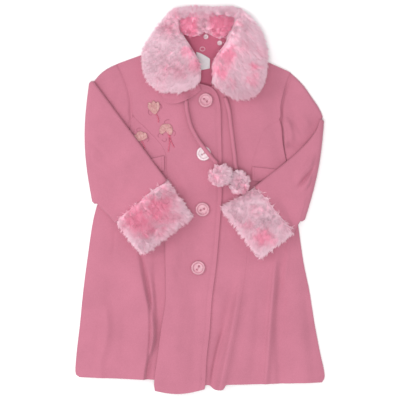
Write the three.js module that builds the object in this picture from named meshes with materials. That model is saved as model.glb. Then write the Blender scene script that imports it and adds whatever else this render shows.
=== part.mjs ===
// A child's wool coat with fur collar and cuffs, laid flat on its back, buttoned, both sleeves
// folded back over the fronts. Millimetres. +X is the wearer's left, +Y points to the collar,
// +Z is up, and the origin lies on the surface below the middle of the coat.
import * as THREE from "three";

// Cloth, seams and layers
const WALL = 2.2;
const GAP = 0.3;
const LAY_GAP = 0.9;
const SEAT_GAP = 0.45;
const BACK_THICKNESS = 2;
const EDGE_TOP = BACK_THICKNESS + GAP + WALL;
const EASE = 5;
const OVERLAP_STEP = 3.1;
const SEAM_RISE = 3;
const SEAM_DIP = 1.6;
const SAMPLES_PER_ROW = 2;

// How far in from an edge the laid cloth takes to rise, and where its layers step up
const SIDE_RISE_OVER = 18;
const SHOULDER_RISE_OVER = 14;
const FOLD_FADE_OVER = 12;
const DEEPEST_TROUGH = -2.2;
const OVERLAP_SPAN = { from: -70, to: -22 };
const SEAM_GROWS_OVER = 80;
const SEAM_RISE_SPAN = { from: 5, to: 45 };
const SEAM_DIP_SPAN = { from: -80, to: -62 };
const HEM_CURVE_FROM = 0.85;

// Sleeves, cuffs and their fold at the elbow
const SLEEVE_WALL = 2;
const SLEEVE_HALF = 3.3;
const ARMHOLE_HALF = 2.3;
const ARMHOLE_GAP = 1;
const FOLD_RADIUS = 4;
const CUFF_HEIGHT = 30;
const CUFF_WALL_UNDER = 9;
const CUFF_WALL_OVER = 18;
const CUFF_REACH = 15;

// Trimmings
const BUTTON_DIAMETER = 23;
const BUTTON_THICKNESS = 3.2;
const SMALL_BUTTON_DIAMETER = 8;
const SMALL_BUTTON_THICKNESS = 2;
const HOLE_RADIUS_SHARE = 0.055;
const HOLE_OFFSET_SHARE = 0.1;
const TIE_DIAMETER = 7;
const TIE_LAY_GAP = 0.5;
const POMPOM_SEGMENTS = 16;

// The section of a fur piece: the level of its widest place, and how square it is either way
const FUR_SECTION = { waist: 0.36, squareAcross: 0.7, squareUp: 0.75 };
const CUFF_SWELL = { ends: 0.84, middle: 0.16, from: 0.16 };
const CUFF_SLIT_INSET = 0.12;

const CLOTH = 0xcd7f94;
const FUR = 0xe3b0c2;
const PEARL = 0xdcb4c0;
const PETAL = 0xd69c9b;
const TAPE = 0xe8e2e4;
const LOOP = 0xe0a9bb;

// Each row is a level down the right half, from shoulder to hem: the side line (lower armhole,
// then side seam), the princess seam (upper armhole, then seam) and the neckline and front edge.
const RIGHT_ROWS = [
  { seamX: -131, seamY: 218, edgeX: -48, edgeY: 248 },
  { seamX: -118, seamY: 192, edgeX: -38, edgeY: 222 },
  { seamX: -109, seamY: 160, edgeX: -16, edgeY: 192 },
  { sideX: -110, sideY: 129, seamX: -107, seamY: 135, edgeX: 20, edgeY: 179 },
  { sideX: -113, sideY: 107, seamX: -84, seamY: 112, edgeX: 32, edgeY: 155 },
  { sideX: -120, sideY: 86, seamX: -57, seamY: 80, edgeX: 34, edgeY: 110 },
  { sideX: -133, sideY: 66, seamX: -53, seamY: 45, edgeX: 35, edgeY: 60 },
  { sideX: -151, sideY: 27, seamX: -53, seamY: 0, edgeX: 35, edgeY: 5 },
  { sideX: -169, sideY: -25, seamX: -56, seamY: -55, edgeX: 31, edgeY: -50 },
  { sideX: -180, sideY: -95, seamX: -55, seamY: -110, edgeX: 26, edgeY: -105 },
  { sideX: -187, sideY: -150, seamX: -55, seamY: -160, edgeX: 19, edgeY: -160 },
  { sideX: -192, sideY: -200, seamX: -62, seamY: -205, edgeX: 16, edgeY: -205 },
  { sideX: -197, sideY: -243, seamX: -68, seamY: -250, edgeX: 11, edgeY: -252 },
  { sideX: -199, sideY: -275, seamX: -73, seamY: -288, edgeX: 9, edgeY: -290 },
  { sideX: -193, sideY: -283, seamX: -72, seamY: -304, edgeX: 7, edgeY: -302 },
];
const LEFT_ROWS = [
  { seamX: 144, seamY: 204, edgeX: 52, edgeY: 246 },
  { seamX: 136, seamY: 182, edgeX: 42, edgeY: 218 },
  { seamX: 129, seamY: 153, edgeX: 24, edgeY: 186 },
  { sideX: 130, sideY: 117, seamX: 127, seamY: 129, edgeX: -4, edgeY: 171 },
  { sideX: 132, sideY: 92, seamX: 104, seamY: 113, edgeX: -10, edgeY: 150 },
  { sideX: 136, sideY: 70, seamX: 90, seamY: 80, edgeX: -12, edgeY: 110 },
  { sideX: 142, sideY: 49, seamX: 82, seamY: 50, edgeX: -12, edgeY: 60 },
  { sideX: 149, sideY: 8, seamX: 79, seamY: 0, edgeX: -12, edgeY: 5 },
  { sideX: 157, sideY: -42, seamX: 77, seamY: -50, edgeX: -12, edgeY: -50 },
  { sideX: 165, sideY: -98, seamX: 74, seamY: -105, edgeX: -12, edgeY: -105 },
  { sideX: 175, sideY: -147, seamX: 67, seamY: -155, edgeX: -12, edgeY: -160 },
  { sideX: 183, sideY: -198, seamX: 59, seamY: -205, edgeX: -12, edgeY: -205 },
  { sideX: 191, sideY: -240, seamX: 51, seamY: -248, edgeX: -12, edgeY: -250 },
  { sideX: 199, sideY: -279, seamX: 44, seamY: -284, edgeX: -12, edgeY: -286 },
  { sideX: 195, sideY: -291.5, seamX: 42, seamY: -295, edgeX: -12, edgeY: -296 },
];
const SIDE_START = 3;
const UNDERARM = 6;

// Soft ridges and troughs of the skirt: a line from its top to the hem, bowed sideways, with how
// far it rises and how wide it is on each side.
const FOLDS = [
  { topX: -122, topY: -35, lowX: -99, lowY: -290, bow: 16, rise: 6.5, left: 34, right: 9 },
  { topX: -84, topY: -40, lowX: -80, lowY: -295, bow: 15, rise: -2.6, left: 9, right: 12 },
  { topX: -50, topY: -25, lowX: -60, lowY: -308, bow: 7, rise: 3.2, left: 14, right: 30 },
  { topX: -152, topY: -110, lowX: -158, lowY: -285, bow: 6, rise: 2.5, left: 12, right: 12 },
  { topX: 52, topY: -95, lowX: 30, lowY: -300, bow: 6, rise: 7, left: 9, right: 12 },
  { topX: 92, topY: -70, lowX: 62, lowY: -295, bow: 4, rise: 2.5, left: 12, right: 16 },
  { topX: 123, topY: -70, lowX: 104, lowY: -294, bow: 6, rise: 4.5, left: 15, right: 12 },
  { topX: 150, topY: -100, lowX: 168, lowY: -292, bow: -6, rise: 2.5, left: 14, right: 14 },
];

// How far the right side panel tucks under the raised centre panel, and where its hem ends
const TUCK = { width: 8, startY: -60, fullY: -120 };
const TUCKED_HEM_LIFT = 17;

// The back's neckline and the middle of its hem
const NECK_BACK = [[-48, 248], [-34, 259], [-14, 271], [6, 275], [26, 271], [40, 258], [52, 246]];
const HEM_BACK = [[60, -290], [-60, -287]];

const HEM_TONGUE = { x: 30, drop: 8, halfWidth: 12 };

const POCKET_MARGIN = 6;
const POCKET_MARGIN_BELOW = 12;
const POCKETS = {
  right: { innerX: -57, outerX: -117, topY: 71, drop: -15, depth: 24 },
  left: { innerX: 83, outerX: 143, topY: 53, drop: -6, depth: 22 },
};

// Each sleeve: the elbow fold line and the cuff seam line, from the outer to the inner edge
const SLEEVES = {
  right: {
    side: -1,
    bulge: 4,
    underarmSlack: 6,
    forearmSag: 0,
    fold: { upX: -169.5, upY: 189.5, lowX: -164.2, lowY: -6, bow: 10 },
    cuffSeam: { upX: -52, upY: 31, lowX: -135, lowY: -36 },
    cuffEnd: { upX: -10, upY: -23, lowX: -93, lowY: -86 },
  },
  left: {
    side: 1,
    bulge: 8,
    underarmSlack: 1.5,
    forearmSag: 16,
    fold: { upX: 191, upY: 128.5, lowX: 159.5, lowY: -34, bow: 6 },
    cuffSeam: { upX: 86, upY: 21, lowX: 149, lowY: -53 },
    cuffEnd: { upX: 34, upY: -9, lowX: 98, lowY: -92 },
  },
};

// The fur collar in level rows: its outer and inner edge and its height at each
const FUR_WINGS = {
  right: [
    { y: 304, outerX: -46, innerX: -32, height: 12 },
    { y: 296, outerX: -53, innerX: -29.5, height: 22 },
    { y: 282, outerX: -64, innerX: -29, height: 28 },
    { y: 266, outerX: -76, innerX: -26, height: 32 },
    { y: 250, outerX: -86, innerX: -16, height: 34 },
    { y: 234, outerX: -91, innerX: -6, height: 34 },
    { y: 218, outerX: -91, innerX: 2, height: 33 },
    { y: 202, outerX: -88, innerX: 4, height: 32 },
    { y: 188, outerX: -81, innerX: 1, height: 29 },
    { y: 178, outerX: -71, innerX: -10, height: 22 },
    { y: 172, outerX: -59, innerX: -30, height: 11 },
  ],
  left: [
    { y: 308, outerX: 66, innerX: 46, height: 12 },
    { y: 299, outerX: 76, innerX: 54, height: 22 },
    { y: 284, outerX: 89, innerX: 51, height: 29 },
    { y: 268, outerX: 99, innerX: 44, height: 33 },
    { y: 250, outerX: 105, innerX: 38, height: 35 },
    { y: 234, outerX: 107, innerX: 26, height: 35 },
    { y: 216, outerX: 107, innerX: 18, height: 35 },
    { y: 200, outerX: 105, innerX: 18, height: 34 },
    { y: 186, outerX: 101, innerX: 18, height: 32 },
    { y: 172, outerX: 92, innerX: 33, height: 26 },
    { y: 161, outerX: 77, innerX: 54, height: 12 },
  ],
};
const FUR_BACK_ROWS = [
  { lowX: -25.7, lowY: 265, highX: -29.2, highY: 299, height: 17 },
  { lowX: -20, lowY: 261, highX: -22, highY: 306, height: 21 },
  { lowX: -8, lowY: 259, highX: -8, highY: 308, height: 23 },
  { lowX: 6, lowY: 266, highX: 6, highY: 308, height: 24 },
  { lowX: 20, lowY: 260, highX: 22, highY: 306, height: 24 },
  { lowX: 33, lowY: 256, highX: 39, highY: 307, height: 23 },
  { lowX: 43, lowY: 267, highX: 51.5, highY: 297, height: 18 },
];

// The cloth collar below the fur: its hidden inner line and its outer edge
const CLOTH_COLLARS = {
  right: [
    { innerX: -66, innerY: 186, outerX: -65, outerY: 170 },
    { innerX: -58, innerY: 188, outerX: -57, outerY: 157 },
    { innerX: -44, innerY: 189, outerX: -43, outerY: 153 },
    { innerX: -28, innerY: 187, outerX: -26, outerY: 157 },
    { innerX: -13, innerY: 186, outerX: -11, outerY: 165 },
    { innerX: -1, innerY: 184, outerX: 2, outerY: 175 },
  ],
  left: [
    { innerX: 84, innerY: 188, outerX: 80, outerY: 172 },
    { innerX: 72, innerY: 190, outerX: 69, outerY: 168 },
    { innerX: 58, innerY: 190, outerX: 57, outerY: 169 },
    { innerX: 45, innerY: 190, outerX: 45, outerY: 175 },
    { innerX: 36, innerY: 190, outerX: 37, outerY: 181 },
  ],
};
const COLLAR_WALL = 2;
const FUR_SEAT = 1.1;
const TIE_TUNNEL = { x: -22, y: 157, width: 11, rise: 9 };

const BUTTONS = [
  { x: 9, y: 159 },
  { x: 6, y: 74 },
  { x: 4, y: -15 },
  { x: -3, y: -108 },
];
const COLLAR_BUTTONS = { right: { x: 9.6, y: 261 }, left: { x: 31.5, y: 251 } };

// Cord routes, chosen point by point; lift is how far the tie is raised over what it crosses
const TIES = {
  right: [
    { x: -22, y: 159, lift: 0 }, { x: -22, y: 152, lift: 0 }, { x: -21, y: 143, lift: 0 },
    { x: -19, y: 134, lift: 0 }, { x: -17, y: 125, lift: 0 }, { x: -13.5, y: 115, lift: 0 },
    { x: -9, y: 106, lift: 0 }, { x: -4, y: 97, lift: 1.5 }, { x: 2, y: 88, lift: 4 },
    { x: 7.5, y: 81, lift: 5 }, { x: 13, y: 74, lift: 5 }, { x: 18, y: 67.5, lift: 4 },
    { x: 23, y: 62, lift: 2.5 }, { x: 27, y: 57.5, lift: 2.5 },
  ],
  left: [
    { x: 40, y: 163, lift: 0 }, { x: 43, y: 154, lift: 0 }, { x: 46, y: 143, lift: 0 },
    { x: 47.5, y: 131, lift: 0 }, { x: 49, y: 118, lift: 0 }, { x: 50.5, y: 106, lift: 0 },
    { x: 52, y: 94, lift: 0 }, { x: 53.5, y: 82, lift: 0 }, { x: 55, y: 70, lift: 0 },
    { x: 56, y: 59, lift: 1 }, { x: 57.5, y: 48.5, lift: 3 },
  ],
};
const POMPOMS = {
  right: { x: 32, y: 40, lengthX: 37, lengthY: 34, height: 31 },
  left: { x: 62.5, y: 28, lengthX: 29, lengthY: 37, height: 30 },
};

// Each flower is a fan of petals from a base below its middle; turn is the fan's lean
const FLOWERS = [
  { x: -73, y: 147, radius: 12, turn: 8, spread: 60, petals: 3, base: 0.95 },
  { x: -54, y: 112, radius: 10.5, turn: -6, spread: 214, petals: 4, base: 0.25 },
  { x: -95, y: 102, radius: 9, turn: 14, spread: 120, petals: 3, base: 0.85 },
];
const PETAL_NOTCH = 0.26;
const FLOWER_THICKNESS = 1.6;
const NECK_LABEL = { x: 5, y: 222, width: 22, height: 29, thickness: 0.6 };
const HANG_LOOP = { x: 4, y: 241.4, length: 9.5, width: 8, cord: 1.6 };

const smooth = THREE.MathUtils.smoothstep;
const lerp = THREE.MathUtils.lerp;

// A smooth line through one pair of columns, sampled evenly between the rows
function sampleLine(rows, xColumn, yColumn, perRow = SAMPLES_PER_ROW) {
  const knots = rows.map((row) => new THREE.Vector3(row[xColumn], row[yColumn], 0));
  const curve = new THREE.CatmullRomCurve3(knots, false, "catmullrom", 0.5);
  const steps = (knots.length - 1) * perRow;
  return Array.from({ length: steps + 1 }, (_, step) => curve.getPoint(step / steps));
}

function halfLines(rows) {
  const sideStart = SIDE_START * SAMPLES_PER_ROW;
  const seam = sampleLine(rows, "seamX", "seamY");
  const edge = sampleLine(rows, "edgeX", "edgeY");
  const side = sampleLine(rows.slice(SIDE_START), "sideX", "sideY");
  const armholeLower = side.slice(0, (UNDERARM - SIDE_START) * SAMPLES_PER_ROW + 1);
  const armhole = [...seam.slice(0, sideStart + 1), ...armholeLower];
  return { seam, edge, side, armhole, outline: [...seam.slice(0, sideStart + 1), ...side] };
}

const RIGHT = halfLines(RIGHT_ROWS);
const LEFT = halfLines(LEFT_ROWS);

// The outline's x at a height, read from its points
function outlineX(outline, y) {
  for (let index = 1; index < outline.length; index += 1) {
    const above = outline[index - 1];
    const below = outline[index];
    if (y <= above.y && y >= below.y) {
      return lerp(above.x, below.x, (above.y - y) / Math.max(above.y - below.y, 1e-6));
    }
  }
  return y > outline[0].y ? outline[0].x : outline[outline.length - 1].x;
}

function shoulderY(x) {
  const rows = x < 0 ? RIGHT_ROWS : LEFT_ROWS;
  const along = (x - rows[0].edgeX) / (rows[0].seamX - rows[0].edgeX);
  return lerp(rows[0].edgeY, rows[0].seamY, THREE.MathUtils.clamp(along, -0.5, 1));
}

function foldHeight(x, y) {
  let height = 0;
  for (const fold of FOLDS) {
    const along = THREE.MathUtils.clamp((fold.topY - y) / (fold.topY - fold.lowY), 0, 1);
    const centre = lerp(fold.topX, fold.lowX, along) + fold.bow * 4 * along * (1 - along);
    const offset = x - centre;
    const width = offset < 0 ? fold.left : fold.right;
    height += fold.rise * smooth(along, 0, 0.45) * Math.exp(-((offset / width) ** 2));
  }
  return height;
}

// Top of the front cloth that lies straight on the back
function frontTop(x, y) {
  const fromRight = Math.max(x - outlineX(RIGHT.outline, y), 0);
  const fromLeft = Math.max(outlineX(LEFT.outline, y) - x, 0);
  const fromShoulder = Math.max(shoulderY(x) - y, 0);
  const roundness = (1 - Math.exp(-fromRight / SIDE_RISE_OVER)) * (1 - Math.exp(-fromLeft / SIDE_RISE_OVER));
  const shoulder = 1 - Math.exp(-fromShoulder / SHOULDER_RISE_OVER);
  const fade = Math.min(1, Math.min(fromRight, fromLeft) / FOLD_FADE_OVER);
  return EDGE_TOP + EASE * roundness * shoulder + Math.max(foldHeight(x, y) * fade, DEEPEST_TROUGH);
}

// Top of the right front, which lies over the left one
function overlapTop(x, y) {
  return frontTop(x, y) + OVERLAP_STEP * smooth(x, OVERLAP_SPAN.from, OVERLAP_SPAN.to);
}

// The right centre panel stands up along its skirt seam, and the side panel dips towards it
function rightCentreTop(x, y) {
  const across = smooth(-x, SEAM_RISE_SPAN.from, SEAM_RISE_SPAN.to);
  return overlapTop(x, y) + SEAM_RISE * smooth(-y, 0, SEAM_GROWS_OVER) * across;
}

function rightSideTop(x, y) {
  const across = smooth(x, SEAM_DIP_SPAN.from, SEAM_DIP_SPAN.to);
  return overlapTop(x, y) - SEAM_DIP * smooth(-y, 0, SEAM_GROWS_OVER) * across;
}

function pocketLift(x, y) {
  for (const pocket of Object.values(POCKETS)) {
    const low = Math.min(pocket.innerX, pocket.outerX) - POCKET_MARGIN;
    const high = Math.max(pocket.innerX, pocket.outerX) + POCKET_MARGIN;
    const above = pocket.topY + POCKET_MARGIN;
    const below = pocket.topY + pocket.drop - pocket.depth - POCKET_MARGIN_BELOW;
    if (x > low && x < high && y > below && y < above) {
      return WALL + GAP;
    }
  }
  return 0;
}

// Top of all the body cloth at a place, which sleeves, trimmings and collar lie on
function bodyTop(x, y) {
  if (x > outlineX(RIGHT.edge, y) + 3) {
    return frontTop(x, y);
  }
  return x > outlineX(RIGHT.seam, y) - 1 ? rightCentreTop(x, y) : rightSideTop(x, y);
}

// The highest body cloth near a place, so that what lies on it clears the steps between panels
function layOn(x, y, reach = 6) {
  let top = 0;
  for (const dx of [-reach, 0, reach]) {
    for (const dy of [-reach, 0, reach]) {
      top = Math.max(top, bodyTop(x + dx, y + dy) + pocketLift(x + dx, y + dy));
    }
  }
  return top;
}

// A closed solid from points and triangles, turned outwards if its volume comes out negative
function solid(points, triangles) {
  let volume = 0;
  const cross = new THREE.Vector3();
  for (const [a, b, c] of triangles) {
    volume += points[a].dot(cross.crossVectors(points[b], points[c]));
  }
  const faces = volume < 0 ? triangles.map(([a, b, c]) => [a, c, b]) : triangles;
  const geometry = new THREE.BufferGeometry();
  geometry.setFromPoints(points);
  geometry.setIndex(faces.flat());
  geometry.computeVertexNormals();
  return geometry;
}

function quad(triangles, a, b, c, d) {
  triangles.push([a, b, c], [a, c, d]);
}

// A sheet of cloth from a grid of points on its top face, with a wall below it
function clothPanel(grid, wall) {
  const rows = grid.length;
  const columns = grid[0].length;
  const points = [];
  for (const drop of [0, wall]) {
    for (const row of grid) {
      points.push(...row.map((point) => new THREE.Vector3(point.x, point.y, point.z - drop)));
    }
  }
  const triangles = [];
  const under = rows * columns;
  const at = (row, column) => row * columns + column;
  for (let row = 0; row < rows - 1; row += 1) {
    for (let column = 0; column < columns - 1; column += 1) {
      const corners = [at(row, column), at(row, column + 1), at(row + 1, column + 1), at(row + 1, column)];
      quad(triangles, ...corners);
      quad(triangles, ...corners.map((corner) => corner + under).reverse());
    }
  }
  const across = Array.from({ length: columns - 1 }, (_, column) => column);
  const down = Array.from({ length: rows - 1 }, (_, row) => row);
  const rim = [
    ...across.map((column) => at(0, column)),
    ...down.map((row) => at(row, columns - 1)),
    ...across.map((column) => at(rows - 1, columns - 1 - column)),
    ...down.map((row) => at(rows - 1 - row, 0)),
  ];
  rim.forEach((start, index) => {
    const end = rim[(index + 1) % rim.length];
    quad(triangles, end, start, start + under, end + under);
  });
  return solid(points, triangles);
}

// A loft through closed rings: capped at both ends, or open with an inner set of rings
function ringLoft(rings, innerRings) {
  const count = rings[0].length;
  const points = rings.flat();
  const triangles = [];
  const skin = (first, ringCount, inward) => {
    for (let ring = 0; ring < ringCount - 1; ring += 1) {
      for (let step = 0; step < count; step += 1) {
        const next = (step + 1) % count;
        const corners = [ring * count + step, ring * count + next];
        corners.push((ring + 1) * count + next, (ring + 1) * count + step);
        const placed = corners.map((corner) => corner + first);
        quad(triangles, ...(inward ? placed.reverse() : placed));
      }
    }
  };
  skin(0, rings.length, false);
  const lastRing = (rings.length - 1) * count;
  if (innerRings) {
    const inner = points.length;
    points.push(...innerRings.flat());
    skin(inner, innerRings.length, true);
    for (let step = 0; step < count; step += 1) {
      const next = (step + 1) % count;
      quad(triangles, step, inner + step, inner + next, next);
      const outerEnd = lastRing + step;
      const outerNext = lastRing + next;
      quad(triangles, outerNext, inner + outerNext, inner + outerEnd, outerEnd);
    }
    return solid(points, triangles);
  }
  for (const [ring, start] of [[rings[0], 0], [rings[rings.length - 1], lastRing]]) {
    const middle = points.length;
    const sum = ring.reduce((total, point) => total.add(point), new THREE.Vector3());
    points.push(sum.divideScalar(count));
    for (let step = 0; step < count; step += 1) {
      const next = (step + 1) % count;
      triangles.push(start ? [middle, start + step, start + next] : [middle, next, step]);
    }
  }
  return solid(points, triangles);
}

const coat = new THREE.Group();

function addPiece(name, geometry, colour, roughness = 0.95) {
  const material = new THREE.MeshStandardMaterial({ color: colour, roughness, metalness: 0 });
  const mesh = new THREE.Mesh(geometry, material);
  mesh.name = name;
  coat.add(mesh);
  return mesh;
}

// Back panel: a flat plate with the outline of both halves
function backPanel() {
  const inset = (point, amount) => new THREE.Vector2(point.x + amount, point.y);
  const points = [...RIGHT.outline].reverse().map((point) => inset(point, GAP));
  points.push(...NECK_BACK.map(([x, y]) => new THREE.Vector2(x, y)));
  points.push(...LEFT.outline.map((point) => inset(point, -GAP)));
  points.push(...HEM_BACK.map(([x, y]) => new THREE.Vector2(x, y)));
  return new THREE.ExtrudeGeometry(new THREE.Shape(points), { depth: BACK_THICKNESS, bevelEnabled: false });
}

// One front panel: straight across from its first line to its second, laid at a height
function frontPanel(from, to, columns, topAt, hemSag) {
  const grid = from.map((start, row) => {
    const end = to[row];
    const hem = smooth(row / (from.length - 1), HEM_CURVE_FROM, 1);
    return Array.from({ length: columns + 1 }, (_, column) => {
      const across = column / columns;
      const x = lerp(start.x, end.x, across);
      const y = lerp(start.y, end.y, across) - hem * hemSag(x, across);
      return new THREE.Vector3(x, y, topAt(x, y));
    });
  });
  return clothPanel(grid, WALL);
}

function tuckedSeam(seam) {
  return seam.map((point) => {
    const tuck = TUCK.width * smooth(-point.y, -TUCK.startY, -TUCK.fullY);
    const lift = TUCKED_HEM_LIFT * smooth(-point.y, 180, 304);
    return new THREE.Vector3(point.x + tuck - GAP, point.y + lift, 0);
  });
}

// How far the left front's hem hangs down in a round tongue beside the closing edge
function hemTongue(x) {
  return HEM_TONGUE.drop * Math.exp(-(((x - HEM_TONGUE.x) / HEM_TONGUE.halfWidth) ** 4));
}

function addFronts() {
  const sideFrom = SIDE_START * SAMPLES_PER_ROW;
  const noSag = () => 0;
  addPiece("front_right_centre", frontPanel(RIGHT.seam, RIGHT.edge, 8, rightCentreTop,
    (x, across) => 6 * Math.sin(Math.PI * across)), CLOTH);
  const tucked = tuckedSeam(RIGHT.seam.slice(sideFrom));
  addPiece("front_right_side", frontPanel(RIGHT.side, tucked, 11, rightSideTop, noSag), CLOTH);
  addPiece("front_left_centre", frontPanel(LEFT.edge, LEFT.seam, 9, frontTop,
    (x, across) => hemTongue(x) * Math.min(1, 5 * (1 - across))), CLOTH);
  const leftSeam = LEFT.seam.slice(sideFrom).map((point) => new THREE.Vector3(point.x + GAP, point.y, 0));
  addPiece("front_left_side", frontPanel(leftSeam, LEFT.side, 10, frontTop, noSag), CLOTH);
}

// Points across a straight or bowed line, as many as the armhole has
function acrossLine(line, count, side) {
  return Array.from({ length: count }, (_, index) => {
    const across = index / (count - 1);
    const bow = side * (line.bow ?? 0) * Math.sin(Math.PI * across);
    const x = lerp(line.upX, line.lowX, across) + bow;
    return new THREE.Vector3(x, lerp(line.upY, line.lowY, across), 0);
  });
}

function between(first, second, along) {
  return first.map((point, index) => point.clone().lerp(second[index], along));
}

// Outer and inner ring of the flat sleeve tube over one line of middle points
function sleeveRings(middle, half, turn, side, wall) {
  const normal = new THREE.Vector3(-side * Math.sin(turn), 0, Math.cos(turn));
  const last = middle.length - 1;
  const layer = (reach, inset) => {
    const offsets = middle.map((point, index) => {
      const end = index === 0 || index === last;
      const towards = index === 0 ? 1 : last - 1;
      const place = point.clone();
      if (end && inset) {
        place.lerp(middle[towards], inset / point.distanceTo(middle[towards]));
      }
      return { place, height: reach * (end ? 0.4 : 1) };
    });
    const over = offsets.map(({ place, height }) => place.clone().addScaledVector(normal, height));
    const under = offsets.map(({ place, height }) => place.clone().addScaledVector(normal, -height));
    return [...over, ...under.reverse()];
  };
  return { outer: layer(half, 0), inner: layer(half - wall, wall) };
}

function addSleeve(name, sleeve, half) {
  const { side, fold, cuffSeam } = sleeve;
  const armhole = half.armhole.map((point, index, line) => {
    const along = line[Math.min(index + 1, line.length - 1)].clone().sub(line[Math.max(index - 1, 0)]);
    const away = new THREE.Vector3(along.y, -along.x, 0).normalize().multiplyScalar(-side * ARMHOLE_GAP);
    return point.clone().add(away);
  });
  const count = armhole.length;
  const foldLine = acrossLine(fold, count, side);
  const cuffLine = acrossLine(cuffSeam, count, side);
  const outer = [];
  const inner = [];
  const addSection = (middle, halfHeight, turn) => {
    const rings = sleeveRings(middle, halfHeight, turn, side, SLEEVE_WALL);
    outer.push(rings.outer);
    inner.push(rings.inner);
  };
  for (const along of [0, 0.15, 0.4, 0.7, 0.93]) {
    const halfHeight = lerp(ARMHOLE_HALF, SLEEVE_HALF, smooth(along, 0, 0.4));
    const middle = between(armhole, foldLine, along);
    middle.forEach((point, index) => {
      const across = index / (count - 1);
      const bulge = sleeve.bulge * Math.sin(Math.PI * along) * (1 - across) ** 2;
      const slack = sleeve.underarmSlack * Math.sin(Math.PI * along) * across ** 4;
      point.x += side * (0.8 * bulge + slack);
      point.y += 0.6 * bulge;
      point.z = halfHeight;
    });
    addSection(middle, halfHeight, 0);
  }
  for (const degrees of [0, 45, 90, 135, 180]) {
    const turn = THREE.MathUtils.degToRad(degrees);
    const middle = foldLine.map((point) => new THREE.Vector3(
      point.x + side * FOLD_RADIUS * Math.sin(turn), point.y,
      SLEEVE_HALF + FOLD_RADIUS * (1 - Math.cos(turn))));
    addSection(middle, SLEEVE_HALF, turn);
  }
  for (const along of [0.07, 0.2, 0.35, 0.5, 0.65, 0.8, 0.92, 1]) {
    const middle = between(foldLine, cuffLine, along);
    const intoCuff = (CUFF_WALL_UNDER - SLEEVE_HALF) * smooth(along, 0.75, 1);
    const sag = sleeve.forearmSag * Math.sin(Math.PI * Math.sqrt(along));
    middle.forEach((point, index) => {
      point.y -= sag * (1 - index / (count - 1)) ** 2;
      const laid = layOn(point.x, point.y) + LAY_GAP;
      point.z = Math.max(laid, 2 * FOLD_RADIUS) + SLEEVE_HALF + intoCuff;
    });
    addSection(middle, SLEEVE_HALF, Math.PI);
  }
  addPiece(name, ringLoft(outer, inner), CLOTH);
}

// A round-topped, flat-bottomed ring across a line from its first to its last point
function softRing(from, to, height, bottomAt, count = 18) {
  return Array.from({ length: count }, (_, index) => {
    const angle = (2 * Math.PI * index) / count;
    const cosine = Math.cos(angle);
    const sine = Math.sin(angle);
    const across = 0.5 - 0.5 * Math.sign(cosine) * Math.abs(cosine) ** FUR_SECTION.squareAcross;
    const point = from.clone().lerp(to, across);
    const waist = FUR_SECTION.waist * height;
    const share = Math.abs(sine) ** FUR_SECTION.squareUp;
    const rise = sine >= 0 ? waist + (height - waist) * share : waist * (1 - share);
    point.z = bottomAt(point.x, point.y) + rise;
    return point;
  });
}

function addCuff(name, sleeve) {
  const { side, cuffSeam, cuffEnd } = sleeve;
  const start = acrossLine(cuffSeam, 2, side);
  const end = acrossLine(cuffEnd, 2, side);
  const direction = end[0].clone().add(end[1]).sub(start[0]).sub(start[1]).normalize();
  const outer = [];
  const inner = [];
  for (const along of [0, 0.06, 0.3, 0.6, 0.88, 1]) {
    const line = between(start, end, along);
    line.forEach((point) => point.addScaledVector(direction, GAP * 2 * (1 - along)));
    const inward = THREE.MathUtils.clamp(along, CUFF_SWELL.from, 1 - CUFF_SWELL.from);
    const swell = CUFF_SWELL.ends + CUFF_SWELL.middle * Math.sin(Math.PI * inward);
    const height = CUFF_HEIGHT * swell;
    const bottomAt = (x, y) => layOn(x, y, CUFF_REACH) + LAY_GAP;
    outer.push(softRing(line[0], line[1], height, bottomAt));
    const slitStart = line[0].clone().lerp(line[1], CUFF_SLIT_INSET);
    const slitEnd = line[1].clone().lerp(line[0], CUFF_SLIT_INSET);
    const slit = height - CUFF_WALL_UNDER - CUFF_WALL_OVER * (height / CUFF_HEIGHT);
    inner.push(softRing(slitStart, slitEnd, slit, (x, y) => bottomAt(x, y) + CUFF_WALL_UNDER));
  }
  addPiece(name, ringLoft(outer, inner), FUR);
}

// Where the fur collar lies: on the cloth collar and fronts, or on the surface past the shoulders
function furBed(x, y) {
  const onBody = smooth(shoulderY(x) + 14 - y, 0, 12);
  const overBody = overlapTop(x, Math.min(y, shoulderY(x) - 30)) + COLLAR_WALL + FUR_SEAT;
  return lerp(GAP + BACK_THICKNESS, overBody, onBody);
}

function addFurCollar() {
  for (const [side, rows] of Object.entries(FUR_WINGS)) {
    const rings = rows.map((row) => softRing(new THREE.Vector3(row.outerX, row.y, 0),
      new THREE.Vector3(row.innerX, row.y, 0), row.height, furBed, 16));
    addPiece(`collar_fur_${side}`, ringLoft(rings), FUR);
  }
  const bed = (x, y) => lerp(0.6, BACK_THICKNESS + 0.6, smooth(-y, -286, -278));
  const rings = FUR_BACK_ROWS.map((row) => softRing(new THREE.Vector3(row.lowX, row.lowY, 0),
    new THREE.Vector3(row.highX, row.highY, 0), row.height, bed, 14));
  addPiece("collar_fur_back", ringLoft(rings), FUR);
}

function tunnelLift(x, y) {
  const away = Math.hypot(x - TIE_TUNNEL.x, y - TIE_TUNNEL.y) / TIE_TUNNEL.width;
  return TIE_TUNNEL.rise * Math.exp(-(away ** 2));
}

function addClothCollar() {
  for (const [side, rows] of Object.entries(CLOTH_COLLARS)) {
    const inner = sampleLine(rows, "innerX", "innerY");
    const outer = sampleLine(rows, "outerX", "outerY");
    const grid = inner.map((start, row) => [0, 0.25, 0.5, 0.75, 1].map((across) => {
      const point = start.clone().lerp(outer[row], across);
      point.z = layOn(point.x, point.y, 3) + GAP + COLLAR_WALL + tunnelLift(point.x, point.y);
      return point;
    }));
    addPiece(`collar_cloth_${side}`, clothPanel(grid, COLLAR_WALL), CLOTH);
  }
}

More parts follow.
